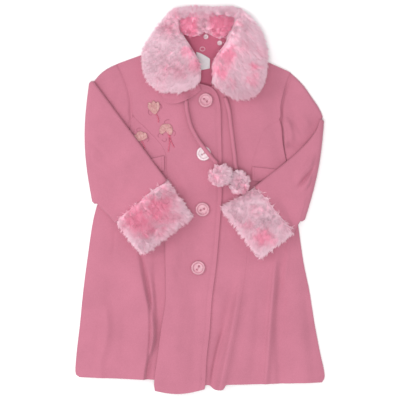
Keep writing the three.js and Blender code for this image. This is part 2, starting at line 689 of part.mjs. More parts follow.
function addPockets() {
  for (const [side, pocket] of Object.entries(POCKETS)) {
    const topAt = side === "right" ? overlapTop : frontTop;
    const grid = [0, 0.5, 1].map((down) => Array.from({ length: 9 }, (_, column) => {
      const across = column / 8;
      const x = lerp(pocket.innerX, pocket.outerX, across);
      const y = pocket.topY + pocket.drop * across - pocket.depth * down;
      return new THREE.Vector3(x, y, topAt(x, y) + GAP + WALL);
    }));
    addPiece(`pocket_flap_${side}`, clothPanel(grid, WALL), CLOTH);
  }
}

// A piece laid on the body cloth, tilted to the cloth below it
function layPiece(mesh, x, y, reach) {
  const slopeX = (bodyTop(x + reach, y) - bodyTop(x - reach, y)) / (2 * reach);
  const slopeY = (bodyTop(x, y + reach) - bodyTop(x, y - reach)) / (2 * reach);
  const normal = new THREE.Vector3(-slopeX, -slopeY, 1).normalize();
  let height = bodyTop(x, y);
  for (const { x: dx, y: dy } of [...circlePoints(reach, 12), ...circlePoints(reach / 2, 8)]) {
    height = Math.max(height, bodyTop(x + dx, y + dy) - slopeX * dx - slopeY * dy);
  }
  mesh.quaternion.setFromUnitVectors(new THREE.Vector3(0, 0, 1), normal);
  mesh.position.set(x, y, height + SEAT_GAP);
}

function circlePoints(radius, count, x = 0, y = 0) {
  return Array.from({ length: count }, (_, index) => {
    const angle = (2 * Math.PI * index) / count;
    return new THREE.Vector2(x + radius * Math.cos(angle), y + radius * Math.sin(angle));
  });
}

function buttonGeometry(diameter, thickness, rimPoints) {
  const shape = new THREE.Shape(circlePoints(diameter / 2, rimPoints));
  const holeRadius = diameter * HOLE_RADIUS_SHARE;
  for (const side of [-1, 1]) {
    const middle = side * diameter * HOLE_OFFSET_SHARE;
    shape.holes.push(new THREE.Path(circlePoints(holeRadius, 8, middle, 0)));
  }
  return new THREE.ExtrudeGeometry(shape, { depth: thickness, bevelEnabled: false });
}

function addButtons() {
  BUTTONS.forEach(({ x, y }, index) => {
    const geometry = buttonGeometry(BUTTON_DIAMETER, BUTTON_THICKNESS, 28);
    layPiece(addPiece(`button_${index + 1}`, geometry, PEARL, 0.3), x, y, BUTTON_DIAMETER / 2);
  });
}

function addCollarButtons() {
  for (const [side, { x, y }] of Object.entries(COLLAR_BUTTONS)) {
    const geometry = buttonGeometry(SMALL_BUTTON_DIAMETER, SMALL_BUTTON_THICKNESS, 16);
    const mesh = addPiece(`collar_button_${side}`, geometry, PEARL, 0.3);
    mesh.position.set(x, y, BACK_THICKNESS + GAP);
  }
}

function addTies() {
  const radius = TIE_DIAMETER / 2;
  for (const [side, rows] of Object.entries(TIES)) {
    const route = rows.map(({ x, y, lift }) => (
      new THREE.Vector3(x, y, layOn(x, y, 3) + TIE_LAY_GAP + radius + lift)));
    const path = new THREE.CatmullRomCurve3(route);
    const section = new THREE.Shape(circlePoints(radius, 8));
    const settings = { extrudePath: path, steps: 16, bevelEnabled: false };
    const geometry = new THREE.ExtrudeGeometry(section, settings);
    addPiece(`tie_${side}`, geometry, CLOTH);
  }
}

function addPompoms() {
  for (const [side, { x, y, lengthX, lengthY, height }] of Object.entries(POMPOMS)) {
    const geometry = new THREE.SphereGeometry(0.5, POMPOM_SEGMENTS, 10);
    geometry.rotateX(Math.PI / 2);
    geometry.scale(lengthX, lengthY, height);
    const mesh = addPiece(`pompom_${side}`, geometry, FUR);
    mesh.position.set(x, y, layOn(x, y, 9) + LAY_GAP + height / 2);
  }
}

// The outline of a fan of rounded petals, from its base round its tips
function fanOutline({ radius, spread, petals, base }) {
  const steps = petals * 6;
  const halfSpread = THREE.MathUtils.degToRad(spread / 2);
  const tips = Array.from({ length: steps + 1 }, (_, step) => {
    const share = step / steps;
    const angle = lerp(-halfSpread, halfSpread, share);
    const petal = 1 - PETAL_NOTCH * (1 - Math.sqrt(Math.abs(Math.sin(Math.PI * petals * share))));
    const reach = radius * (1 + base * Math.cos(angle)) * petal;
    return new THREE.Vector2(reach * Math.sin(angle), reach * Math.cos(angle) - base * radius);
  });
  const foot = radius * 0.15;
  const footY = -base * radius - foot;
  return [...tips, new THREE.Vector2(foot, footY), new THREE.Vector2(-foot, footY)];
}

function addFlowers() {
  FLOWERS.forEach((flower, index) => {
    const shape = new THREE.Shape(fanOutline(flower));
    const geometry = new THREE.ExtrudeGeometry(shape, { depth: FLOWER_THICKNESS, bevelEnabled: false });
    geometry.rotateZ(THREE.MathUtils.degToRad(flower.turn));
    layPiece(addPiece(`flower_${index + 1}`, geometry, PETAL), flower.x, flower.y, flower.radius);
  });
}

function addNeckPieces() {
  const { x, y, width, height, thickness } = NECK_LABEL;
  const label = addPiece("neck_label", new THREE.BoxGeometry(width, height, thickness), TAPE, 0.6);
  label.position.set(x, y, BACK_THICKNESS + GAP + thickness / 2);
  const { length, width: loopWidth, cord } = HANG_LOOP;
  const geometry = new THREE.TorusGeometry((loopWidth - cord) / 2, cord / 2, 6, 14);
  geometry.scale(length / loopWidth, 1, 1);
  const loop = addPiece("hang_loop", geometry, LOOP, 0.7);
  loop.position.set(HANG_LOOP.x, HANG_LOOP.y, BACK_THICKNESS + GAP + cord / 2);
}

addPiece("back", backPanel(), CLOTH);
addFronts();
addSleeve("sleeve_right", SLEEVES.right, RIGHT);
addSleeve("sleeve_left", SLEEVES.left, LEFT);
addCuff("cuff_right", SLEEVES.right);
addCuff("cuff_left", SLEEVES.left);
addFurCollar();
addClothCollar();
addPockets();
addButtons();
addCollarButtons();
addTies();
addPompoms();
addFlowers();
addNeckPieces();

export default coat;
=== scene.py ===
# A child's pink wool coat with fur collar and cuffs, laid flat and seen from straight above
import math

import bpy
import numpy as np
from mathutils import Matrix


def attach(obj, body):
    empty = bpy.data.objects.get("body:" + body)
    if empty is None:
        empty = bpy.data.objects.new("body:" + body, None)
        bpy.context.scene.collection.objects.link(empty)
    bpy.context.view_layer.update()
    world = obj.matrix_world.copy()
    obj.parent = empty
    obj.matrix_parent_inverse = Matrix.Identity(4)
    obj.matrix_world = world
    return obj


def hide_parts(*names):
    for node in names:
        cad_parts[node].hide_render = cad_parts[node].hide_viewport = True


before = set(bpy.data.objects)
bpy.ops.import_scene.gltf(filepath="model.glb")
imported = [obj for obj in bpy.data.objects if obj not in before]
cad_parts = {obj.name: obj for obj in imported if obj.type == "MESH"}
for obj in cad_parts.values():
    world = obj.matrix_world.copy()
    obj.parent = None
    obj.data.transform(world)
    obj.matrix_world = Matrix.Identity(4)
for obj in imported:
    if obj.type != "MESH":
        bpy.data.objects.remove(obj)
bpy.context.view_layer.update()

# Lengths in the tables are millimetres, meshes are in metres
MM = 0.001

# Cloth, seams and layers
WALL = 2.2
GAP = 0.3
BACK_THICKNESS = 2.0
EDGE_TOP = BACK_THICKNESS + GAP + WALL
EASE = 5.0
OVERLAP_STEP = 3.1
SEAM_RISE = 3.8
SEAM_DIP = 1.6
EDGE_ROUND = 0.9
SEAM_MEET = 0.25
BACK_CLEARANCE = 0.25

# How soon the fronts swell from their sides and shoulders, and where folds and overlap set in
SIDE_SLOPE = 18
SHOULDER_SLOPE = 14
FOLD_FADE = 12
FOLD_GROWTH = 0.4
DEEPEST_TROUGH = -4.2
OVERLAP_FROM_X = -70
OVERLAP_TO_X = -22
SEAM_STEP_DOWN = 80

# Steps between two knots of a line
HALF_STEPS = 12
CURVE_STEPS = 8

# Sleeves, cuffs and their fold at the elbow
SLEEVE_WALL = 2.0
SLEEVE_HALF = 3.3
ARMHOLE_HALF = 2.3
FOLD_RADIUS = 4.0
LAY_GAP = 0.9
CUFF_HEIGHT = 30.0
CUFF_WALL_UNDER = 9.0
CUFF_REACH = 15.0
COLLAR_WALL = 2.0
FUR_SEAT = 1.1

# Trimmings
BUTTON_DIAMETER = 23.0
BUTTON_THICKNESS = 3.2
SMALL_BUTTON_DIAMETER = 8.0
SMALL_BUTTON_THICKNESS = 2.0
SMALL_BUTTON_TURN = 0.6
TIE_DIAMETER = 7.0
TIE_SLACK = 0.15
TIE_LIFT = 0.5
SEAT_GAP = 0.45


def table(columns, rows):
    """Named columns of a table written row by row."""
    names = enumerate(columns.split())
    return {name: np.array([row[place] for row in rows], float) for place, name in names}


def named_rows(columns, rows):
    """The rows of a table, each with the names of its columns."""
    return [dict(zip(columns.split(), row)) for row in rows]


BODY_COLUMNS = "side_x side_y seam_x seam_y edge_x edge_y"
RIGHT_ROWS = table(BODY_COLUMNS, [
    (-131, 218, -131, 218, -48, 248),
    (-118, 192, -118, 192, -38, 222),
    (-109, 160, -109, 160, -16, 192),
    (-110, 129, -107, 135, 20, 179),
    (-113, 107, -84, 112, 32, 155),
    (-120, 86, -57, 80, 34, 110),
    (-133, 66, -53, 45, 35, 60),
    (-151, 27, -53, 0, 35, 5),
    (-169, -25, -56, -55, 31, -50),
    (-180, -95, -55, -110, 26, -105),
    (-187, -150, -55, -160, 19, -160),
    (-192, -200, -62, -205, 16, -205),
    (-197, -243, -68, -250, 11, -252),
    (-199, -275, -73, -288, 9, -290),
    (-193, -283, -72, -304, 7, -302),
])
LEFT_ROWS = table(BODY_COLUMNS, [
    (144, 204, 144, 204, 52, 246),
    (136, 182, 136, 182, 42, 218),
    (129, 153, 129, 153, 24, 186),
    (130, 117, 127, 129, -4, 171),
    (132, 92, 104, 113, -10, 150),
    (136, 70, 90, 80, -12, 110),
    (142, 49, 82, 50, -12, 60),
    (149, 8, 79, 0, -12, 5),
    (157, -42, 77, -50, -12, -50),
    (165, -98, 74, -105, -12, -105),
    (175, -147, 67, -155, -12, -160),
    (183, -198, 59, -205, -12, -205),
    (191, -240, 51, -248, -12, -250),
    (199, -279, 44, -284, -12, -286),
    (195, -291.5, 42, -295, -12, -296),
])
SIDE_START = 3
UNDERARM = 6

# Ridges and troughs of the skirt: a line from top to hem, its rise (less than nought for a
# trough) and how far it spreads to either side
FOLDS = [
    {"line": [(-104, -60), (-100, -91), (-88, -149), (-78, -186), (-76, -222), (-88, -269), (-91, -305)],
     "rise": 8.0, "left": 26, "right": 3.2},
    {"line": [(-74, -60), (-72, -120), (-68, -180), (-68, -222), (-80, -269), (-84, -305)],
     "rise": -3.2, "left": 4, "right": 9},
    {"line": [(-50, -25), (-54, -110), (-54, -160), (-60, -205), (-66, -250), (-71, -310)],
     "rise": 3.0, "left": 14, "right": 26},
    {"line": [(-172, -110), (-164, -145), (-149, -195), (-152, -232), (-160, -262), (-158, -300)],
     "rise": 3.0, "left": 9, "right": 8},
    {"line": [(68, -95), (61, -150), (54, -191), (47, -228), (40, -262), (31, -305)],
     "rise": 6.5, "left": 5, "right": 10},
    {"line": [(54, -120), (44, -175), (36, -215), (28, -250), (20, -300)],
     "rise": -3.6, "left": 9, "right": 6},
    {"line": [(124, -50), (120, -91), (116, -138), (111, -198), (108, -240), (103, -300)],
     "rise": 5.5, "left": 3, "right": 6},
    {"line": [(133, -60), (130, -100), (127, -140), (124, -200), (126, -260), (128, -300)],
     "rise": -3.4, "left": 6, "right": 10},
    {"line": [(92, -80), (86, -140), (76, -220), (66, -300)], "rise": 2.4, "left": 12, "right": 14},
    {"line": [(150, -100), (158, -190), (170, -300)], "rise": 2.8, "left": 14, "right": 12},
]
TUCK = {"width": 8, "start_y": -60, "full_y": -120}
TUCKED_HEM_LIFT = 17.0
POCKETS = {
    "right": {"inner_x": -57, "outer_x": -117, "top_y": 71, "drop": -15, "depth": 24},
    "left": {"inner_x": 83, "outer_x": 143, "top_y": 53, "drop": -6, "depth": 22},
}
POCKET_MARGIN = 6


def smooth(value, low, high):
    share = np.clip((np.asarray(value, float) - low) / (high - low), 0, 1)
    return share * share * (3 - 2 * share)


def lerp(first, second, share):
    return first + (second - first) * share


def spline(knots, per_span):
    """A Catmull-Rom line through knots, with per_span steps between two of them."""
    knots = np.asarray(knots, float)
    ends = np.vstack([2 * knots[0] - knots[1], knots, 2 * knots[-1] - knots[-2]])
    share = np.arange(per_span)[:, None] / per_span
    spans = []
    for start in range(len(knots) - 1):
        before, first, second, after = ends[start:start + 4]
        slope_in = (second - before) / 2
        slope_out = (after - first) / 2
        cubic = 2 * first - 2 * second + slope_in + slope_out
        square = -3 * first + 3 * second - 2 * slope_in - slope_out
        spans.append(first + slope_in * share + square * share ** 2 + cubic * share ** 3)
    return np.vstack(spans + [knots[-1:]])


def half_lines(rows):
    """The lines of one half of the coat from the top down; the seam runs on below the armhole."""
    start = SIDE_START * HALF_STEPS
    seam, edge, side = (spline(np.column_stack([rows[part + "_x"], rows[part + "_y"]])[first:], HALF_STEPS)
                        for part, first in (("seam", 0), ("edge", 0), ("side", SIDE_START)))
    upper = seam[:start + 1]
    lower = side[:(UNDERARM - SIDE_START) * HALF_STEPS + 1]
    return {
        "seam": seam, "edge": edge, "side": side, "seam_low": seam[start:],
        "armhole": np.vstack([upper, lower]), "outline": np.vstack([upper, side]),
    }


RIGHT = half_lines(RIGHT_ROWS)
LEFT = half_lines(LEFT_ROWS)


def outline_x(line, y):
    """A line's x at a height; its points go from top to hem."""
    return np.interp(np.asarray(y, float), line[::-1, 1], line[::-1, 0])


def shoulder_y(x):
    x = np.asarray(x, float)
    heights = []
    for rows in (RIGHT_ROWS, LEFT_ROWS):
        share = (x - rows["edge_x"][0]) / (rows["seam_x"][0] - rows["edge_x"][0])
        heights.append(lerp(rows["edge_y"][0], rows["seam_y"][0], np.clip(share, -0.5, 1)))
    return np.where(x < 0, heights[0], heights[1])


def fold_height(x, y):
    height = np.zeros(np.broadcast(x, y).shape)
    for fold in FOLDS:
        line = spline(fold["line"], CURVE_STEPS)
        top_y, low_y = line[0, 1], line[-1, 1]
        offset = x - outline_x(line, y)
        width = np.where(offset < 0, fold["left"], fold["right"])
        grows = smooth((top_y - y) / (top_y - low_y), 0, FOLD_GROWTH)
        height += fold["rise"] * grows * np.exp(-(offset / width) ** 2)
    return height


def front_top(x, y):
    """Top of the front cloth that lies straight on the back."""
    from_right = np.maximum(x - outline_x(RIGHT["outline"], y), 0)
    from_left = np.maximum(outline_x(LEFT["outline"], y) - x, 0)
    from_shoulder = np.maximum(shoulder_y(x) - y, 0)
    roundness = (1 - np.exp(-from_right / SIDE_SLOPE)) * (1 - np.exp(-from_left / SIDE_SLOPE))
    shoulder = 1 - np.exp(-from_shoulder / SHOULDER_SLOPE)
    fade = np.minimum(1, np.minimum(from_right, from_left) / FOLD_FADE)
    return EDGE_TOP + EASE * roundness * shoulder + np.maximum(fold_height(x, y) * fade, DEEPEST_TROUGH)


def overlap_top(x, y):
    return front_top(x, y) + OVERLAP_STEP * smooth(x, OVERLAP_FROM_X, OVERLAP_TO_X)


def right_centre_top(x, y):
    return overlap_top(x, y) + SEAM_RISE * smooth(-y, 0, SEAM_STEP_DOWN) * smooth(-x, 5, 45)


def right_side_top(x, y):
    return overlap_top(x, y) - SEAM_DIP * smooth(-y, 0, SEAM_STEP_DOWN) * smooth(x, -80, -62)


def body_top(x, y):
    right = np.where(x > outline_x(RIGHT["seam"], y) - 1, right_centre_top(x, y), right_side_top(x, y))
    return np.where(x > outline_x(RIGHT["edge"], y) + 3, front_top(x, y), right)


def pocket_lift(x, y):
    """How much a pocket flap raises what lies on it."""
    lift = np.zeros(np.broadcast(x, y).shape)
    for pocket in POCKETS.values():
        low = min(pocket["inner_x"], pocket["outer_x"]) - POCKET_MARGIN
        high = max(pocket["inner_x"], pocket["outer_x"]) + POCKET_MARGIN
        below = pocket["top_y"] + pocket["drop"] - pocket["depth"] - 2 * POCKET_MARGIN
        inside = (x > low) & (x < high) & (y < pocket["top_y"] + POCKET_MARGIN) & (y > below)
        lift = np.where(inside, WALL + GAP, lift)
    return lift


def lay_on(x, y, reach=6.0):
    """The highest body cloth near a place, which whatever lies there clears."""
    x = np.asarray(x, float)
    y = np.asarray(y, float)
    top = np.zeros(np.broadcast(x, y).shape)
    for dx in (-reach, 0, reach):
        for dy in (-reach, 0, reach):
            top = np.maximum(top, body_top(x + dx, y + dy) + pocket_lift(x + dx, y + dy))
    return top


def add_mesh(name, points, faces):
    """A new object from points in millimetres, shaded smooth."""
    mesh = bpy.data.meshes.new(name)
    mesh.from_pydata((np.asarray(points) * MM).tolist(), [], [tuple(face) for face in faces])
    mesh.validate()
    mesh.shade_smooth()
    piece = bpy.data.objects.new(name, mesh)
    bpy.context.collection.objects.link(piece)
    return piece


def signed_volume(points, faces):
    corners = points[np.array([face[:3] for face in faces])]
    volume = np.einsum("ij,ij->i", corners[:, 0], np.cross(corners[:, 1], corners[:, 2])).sum()
    quads = np.array([face for face in faces if len(face) == 4])
    if len(quads):
        corners = points[quads][:, [0, 2, 3]]
        volume += np.einsum("ij,ij->i", corners[:, 0], np.cross(corners[:, 1], corners[:, 2])).sum()
    return volume


def outward(points, faces):
    return faces if signed_volume(points, faces) > 0 else [tuple(reversed(face)) for face in faces]


def grid_faces(rows, columns, first=0, closed=False):
    faces = []
    for row in range(rows - 1):
        for column in range(columns if closed else columns - 1):
            after = (column + 1) % columns
            faces.append((first + row * columns + column, first + row * columns + after,
                          first + (row + 1) * columns + after, first + (row + 1) * columns + column))
    return faces


def round_over(distance, radius):
    """How far a rounded edge has dropped at a distance in from it."""
    inside = np.clip(radius - distance, 0, radius)
    return radius - np.sqrt(np.maximum(radius ** 2 - inside ** 2, 0))


def grid_rim(rows, columns):
    """The places round the outside of a grid, in order."""
    rim = list(range(columns - 1)) + [row * columns + columns - 1 for row in range(rows - 1)]
    rim += [(rows - 1) * columns + column for column in range(columns - 1, 0, -1)]
    return rim + [row * columns for row in range(rows - 1, 0, -1)]


def sheet_faces(rows, columns, first=0):
    """A grid of faces, the same grid below it, and the rim between them."""
    size = rows * columns
    faces = grid_faces(rows, columns, first)
    faces += [tuple(reversed(face)) for face in grid_faces(rows, columns, first + size)]
    rim = grid_rim(rows, columns)
    for start, end in zip(rim, rim[1:] + rim[:1]):
        faces.append((first + end, first + start, first + start + size, first + end + size))
    return faces


def cloth_shell(name, grid, wall=WALL, radius=EDGE_ROUND, underside=None):
    """A thin closed shell of cloth with rounded edges from a grid of points on its top face."""
    rows, columns = grid.shape[:2]
    steps = np.linalg.norm(np.diff(grid, axis=1), axis=2)
    across = np.concatenate([np.zeros((rows, 1)), np.cumsum(steps, axis=1)], axis=1)
    steps = np.linalg.norm(np.diff(grid, axis=0), axis=2)
    down = np.concatenate([np.zeros((1, columns)), np.cumsum(steps, axis=0)], axis=0)
    near = np.minimum(np.minimum(across, across[:, -1:] - across), np.minimum(down, down[-1:] - down))
    drop = np.minimum(round_over(near, radius), radius * 0.97)
    top = grid.copy()
    top[..., 2] -= drop
    under = grid.copy()
    under[..., 2] = under[..., 2] - wall + drop if underside is None else underside + drop
    points = np.vstack([top.reshape(-1, 3), under.reshape(-1, 3)])
    return add_mesh(name, points, outward(points, sheet_faces(rows, columns)))


def ring_loft(name, rings, inner=None):
    """A closed skin through rings of points, capped, or open with an inner skin."""
    rings = np.asarray(rings, float)
    levels, count = rings.shape[:2]
    points = rings.reshape(-1, 3)
    faces = grid_faces(levels, count, closed=True)
    last = (levels - 1) * count
    if inner is None:
        middles = np.array([rings[0].mean(axis=0), rings[-1].mean(axis=0)])
        first_cap = len(points)
        points = np.vstack([points, middles])
        for step in range(count):
            after = (step + 1) % count
            faces.append((first_cap, after, step))
            faces.append((first_cap + 1, last + step, last + after))
        return add_mesh(name, points, outward(points, faces))
    shift = len(points)
    points = np.vstack([points, np.asarray(inner, float).reshape(-1, 3)])
    faces += [tuple(reversed(face)) for face in grid_faces(levels, count, shift, closed=True)]
    for step in range(count):
        after = (step + 1) % count
        faces.append((step, shift + step, shift + after, after))
        faces.append((last + after, shift + last + after, shift + last + step, last + step))
    return add_mesh(name, points, outward(points, faces))


def clustered(count, edge):
    """Even shares from 0 to 1, with extra ones near both ends for the rounded edges."""
    close = np.array([0, 0.12, 0.3, 0.6, 1.0]) * edge
    return np.concatenate([close, np.linspace(edge, 1 - edge, count)[1:-1], (1 - close)[::-1]])


def resample(line, shares):
    """Points of a line at shares of its rows."""
    places = np.asarray(shares) * (len(line) - 1)
    columns = [np.interp(places, np.arange(len(line)), line[:, axis]) for axis in range(line.shape[1])]
    return np.column_stack(columns)


def unit_rows(vectors):
    return vectors / np.linalg.norm(vectors, axis=1)[:, None]


def distances(line):
    """How far along a line each of its points lies."""
    return np.concatenate([[0], np.cumsum(np.linalg.norm(np.diff(line, axis=0), axis=1))])


def at_distances(places, steps, line):
    """The points of a line at some distances along it."""
    return np.column_stack([np.interp(places, steps, line[:, axis]) for axis in range(line.shape[1])])


def full_turn(count):
    """Even angles all round a circle."""
    return 2 * np.pi * np.arange(count) / count


# Creases of the worn wool: a line on the coat, how far it rises (less than nought for a
# trough) and its half width, fading to both ends
CREASE_COLUMNS = "start_x start_y end_x end_y bow rise width"
BODY_CREASES = named_rows(CREASE_COLUMNS, [
    (-137, -45, -141, -95, 2, -0.9, 3.5),
    (-158, -120, -150, -230, 5, 1.2, 7),
    (-148, -150, -166, -275, -4, -1.1, 6),
    (-120, -150, -128, -280, 3, -1.0, 7),
    (-52, 55, -24, -4, 3, -1.6, 5),
    (-46, 62, -14, 4, 3, 1.1, 6),
    (-40, -40, -30, -130, 4, -0.9, 6),
    (-30, -130, -36, -285, -3, 0.9, 9),
    (-8, -150, -12, -290, 2, -0.9, 7),
    (90, 150, 118, 122, 3, 0.9, 6),
    (62, 120, 74, 60, 2, -0.8, 7),
    (48, -20, 66, -70, 3, -1.0, 6),
    (139, -70, 130, -110, 2, -1.2, 5),
    (131, -120, 133, -180, 1, -1.5, 5),
    (133, -180, 146, -262, -2, -1.3, 6),
    (92, -140, 84, -280, 2, -0.8, 6),
    (166, -150, 180, -280, 2, -0.9, 6),
    (-98, 120, -74, 92, 3, -0.6, 5),
    (-60, 165, -30, 130, 3, 0.5, 7),
    (-106, 128, -118, 84, 2, -1.6, 4),
    (-44, -104, -34, -128, 2, -1.2, 4),
    (-101, -62, -88, -288, 15, -4.4, 2.2),
    (-90, -90, -80, -288, 12, 1.6, 4),
    (38, -205, 18, -294, -2, -3.0, 2.6),
    (141, -60, 128, -170, 2, 1.8, 3.2),
    (100, 140, 118, 128, 2, -0.8, 4),
])


def crease_height(creases, x, y):
    height = np.zeros(np.broadcast(x, y).shape)
    for crease in creases:
        start = np.array([crease["start_x"], crease["start_y"]], float)
        along = np.array([crease["end_x"], crease["end_y"]], float) - start
        length = np.hypot(*along)
        along /= length
        share = ((x - start[0]) * along[0] + (y - start[1]) * along[1]) / length
        off = (y - start[1]) * along[0] - (x - start[0]) * along[1]
        off = off - crease["bow"] * 4 * share * (1 - share)
        ends = smooth(share, -0.12, 0.25) * smooth(1 - share, -0.12, 0.25)
        height += crease["rise"] * ends * np.exp(-(off / crease["width"]) ** 2)
    return height


def ripple(x, y):
    """Slow uneven waves of soft cloth."""
    slow = np.sin(x / 31 + 1.7 * np.sin(y / 57)) * np.sin(y / 43 + 0.8 * np.sin(x / 39))
    quick = np.sin(x / 13 + y / 21) * np.sin(y / 17 - x / 27)
    return 0.45 * slow + 0.12 * quick


def cloth_detail(x, y):
    """The creases and ripples of the worn cloth, as heights over its smooth form."""
    return crease_height(BODY_CREASES, x, y) + ripple(x, y)


# Body panels
def panel_grid(start_line, end_line, columns, rows, top_at, hem_sag=None):
    """A panel between two lines; hem_sag says how much lower its hem hangs."""
    across = clustered(columns, edge=0.02)
    down = clustered(rows, edge=0.006)
    start = resample(start_line, down)
    end = resample(end_line, down)
    x = lerp(start[:, None, 0], end[:, None, 0], across[None, :])
    y = lerp(start[:, None, 1], end[:, None, 1], across[None, :])
    if hem_sag is not None:
        y = y - smooth(down, 0.85, 1)[:, None] * hem_sag(x, across[None, :])
    return np.dstack([x, y, top_at(x, y)])


def tucked_seam():
    """The side panel's edge at the princess seam, which slips below the centre in the skirt."""
    line = RIGHT["seam_low"].copy()
    tuck = TUCK["width"] * smooth(-line[:, 1], -TUCK["start_y"], -TUCK["full_y"])
    line[:, 0] += tuck + SEAM_MEET
    line[:, 1] += TUCKED_HEM_LIFT * smooth(-line[:, 1], 180, 304)
    return line


# The hem's stitched fold, the line of stitches beside the front edge, the tongue of the left hem,
# how the left front rises beside its armhole, and the highest crease of the right side panel
HEM_GROOVE = {"y": -287, "wave": 4, "depth": 0.7, "width": 1.6}
FRONT_GROOVE = {"inset": 7.0, "depth": 0.8, "width": 1.3}
HEM_TONGUE = {"x": 30, "drop": 8, "width": 12}
ARMHOLE_RISE = {"height": 3.2, "width": 7}
HIGHEST_SIDE_DETAIL = 1.4


def front_stitch_line():
    """The line of stitches beside the closing edge."""
    return RIGHT["edge"] - np.array([FRONT_GROOVE["inset"], 0])


def hem_tongue(x):
    """How far the left front's hem hangs down beside the closing edge."""
    return HEM_TONGUE["drop"] * np.exp(-((x - HEM_TONGUE["x"]) / HEM_TONGUE["width"]) ** 4)


def on_back(height):
    """Keeps a front's top high enough that its underside stays above the back."""
    return np.maximum(height, BACK_THICKNESS + BACK_CLEARANCE + WALL)


def right_centre_cloth(x, y):
    beside = np.abs(x - outline_x(front_stitch_line(), y))
    stitched = FRONT_GROOVE["depth"] * np.exp(-(beside / FRONT_GROOVE["width"]) ** 2)
    above = y - HEM_GROOVE["y"] + HEM_GROOVE["wave"] * np.cos((x + 32) / 26)
    hem = HEM_GROOVE["depth"] * np.exp(-(above / HEM_GROOVE["width"]) ** 2)
    return on_back(right_centre_top(x, y) + cloth_detail(x, y) - stitched - hem)


def right_side_cloth(x, y):
    return on_back(right_side_top(x, y) + np.minimum(cloth_detail(x, y), HIGHEST_SIDE_DETAIL))


def left_cloth(x, y):
    """The left front; where the right one covers it, nothing rises."""
    edge = outline_x(RIGHT["edge"], y)
    free = smooth(x, edge - 8, edge + 4)
    detail = cloth_detail(x, y)
    away = outline_x(LEFT["armhole"], y) - x
    beside = smooth(y, 52, 74) * (1 - smooth(y, 168, 196)) * free
    seam = ARMHOLE_RISE["height"] * np.exp(-(away / ARMHOLE_RISE["width"]) ** 2)
    return on_back(front_top(x, y) + np.where(free < 1, np.minimum(detail, 0), 0) + detail * free
                   + seam * beside)


def shown_top(x, y):
    """The cloth of the fronts with all its creases, at any place."""
    x = np.asarray(x, float)
    y = np.asarray(y, float)
    right = np.where(x > outline_x(RIGHT["seam"], y), right_centre_cloth(x, y), right_side_cloth(x, y))
    return np.where(x > outline_x(RIGHT["edge"], y), left_cloth(x, y), right)


# A seam pressed flat has sharper edges than a hem
SEAM_ROUND = 0.45
BACK_ROUND = 0.8
PANEL_ROWS = 120
RIGHT_HEM_SAG = 6


def front_panels():
    left_seam = LEFT["seam_low"] - np.array([SEAM_MEET, 0])
    pieces = {
        "front_right_centre": panel_grid(
            RIGHT["seam"], RIGHT["edge"], 48, PANEL_ROWS, right_centre_cloth,
            lambda x, across: RIGHT_HEM_SAG * np.sin(np.pi * across)),
        "front_right_side": panel_grid(RIGHT["side"], tucked_seam(), 84, PANEL_ROWS, right_side_cloth),
        "front_left_centre": panel_grid(
            LEFT["edge"], LEFT["seam"], 48, PANEL_ROWS, left_cloth,
            lambda x, across: hem_tongue(x) * np.minimum(1, 12 * (1 - across))),
        "front_left_side": panel_grid(left_seam, LEFT["side"], 56, PANEL_ROWS, left_cloth),
    }
    rounding = {"front_left_centre": SEAM_ROUND, "front_left_side": SEAM_ROUND}
    return {name: (grid, cloth_shell(name + "_cloth", grid, WALL, rounding.get(name, EDGE_ROUND)))
            for name, grid in pieces.items()}


NECK_BACK = [(-48, 248), (-34, 259), (-14, 271), (6, 275), (26, 271), (45, 266), (52, 246)]


def back_grid():
    """The back from one outline to the other, level by level, flat on the surface."""
    neck = spline(NECK_BACK, CURVE_STEPS)
    right = RIGHT["outline"] + np.array([GAP, 0])
    left = LEFT["outline"] - np.array([GAP, 0])
    down = clustered(90, edge=0.006)
    start = resample(right, down)
    end = resample(left, down)
    across = clustered(66, edge=0.008)
    x = lerp(start[:, None, 0], end[:, None, 0], across[None, :])
    y = lerp(start[:, None, 1], end[:, None, 1], across[None, :])
    hem_y = np.interp(x[-1], [-193, -60, 60, 195], [-283, -287, -290, -291.5])
    top_y = np.interp(x[0], [-131] + list(neck[:, 0]) + [144], [218] + list(neck[:, 1]) + [204])
    levels = smooth(down, 0, 0.22)[:, None]
    y = lerp(y + (1 - levels) * (top_y - y[0]), y, levels)
    y = y + smooth(down, 0.85, 1)[:, None] * (hem_y - y[-1])
    return np.dstack([x, y, np.full(x.shape, BACK_THICKNESS)])


# Sleeves
SLEEVES = {
    "right": {"side": -1, "half": RIGHT, "bulge": 4, "underarm_slack": 6, "cap": 1.4, "sag": 0,
              "corner": 0, "fold": ((-169.5, 189.5), (-164.2, -6), 10),
              "cuff_seam": ((-52, 31), (-135, -36), 0), "cuff_end": ((-10, -23), (-93, -86), 0)},
    "left": {"side": 1, "half": LEFT, "bulge": 8, "underarm_slack": 1.5, "cap": 5.5, "sag": 16,
             "corner": 6.5, "fold": ((191, 128.5), (159.5, -34), 6),
             "cuff_seam": ((86, 21), (149, -53), 0), "cuff_end": ((34, -9), (98, -92), 0)},
}
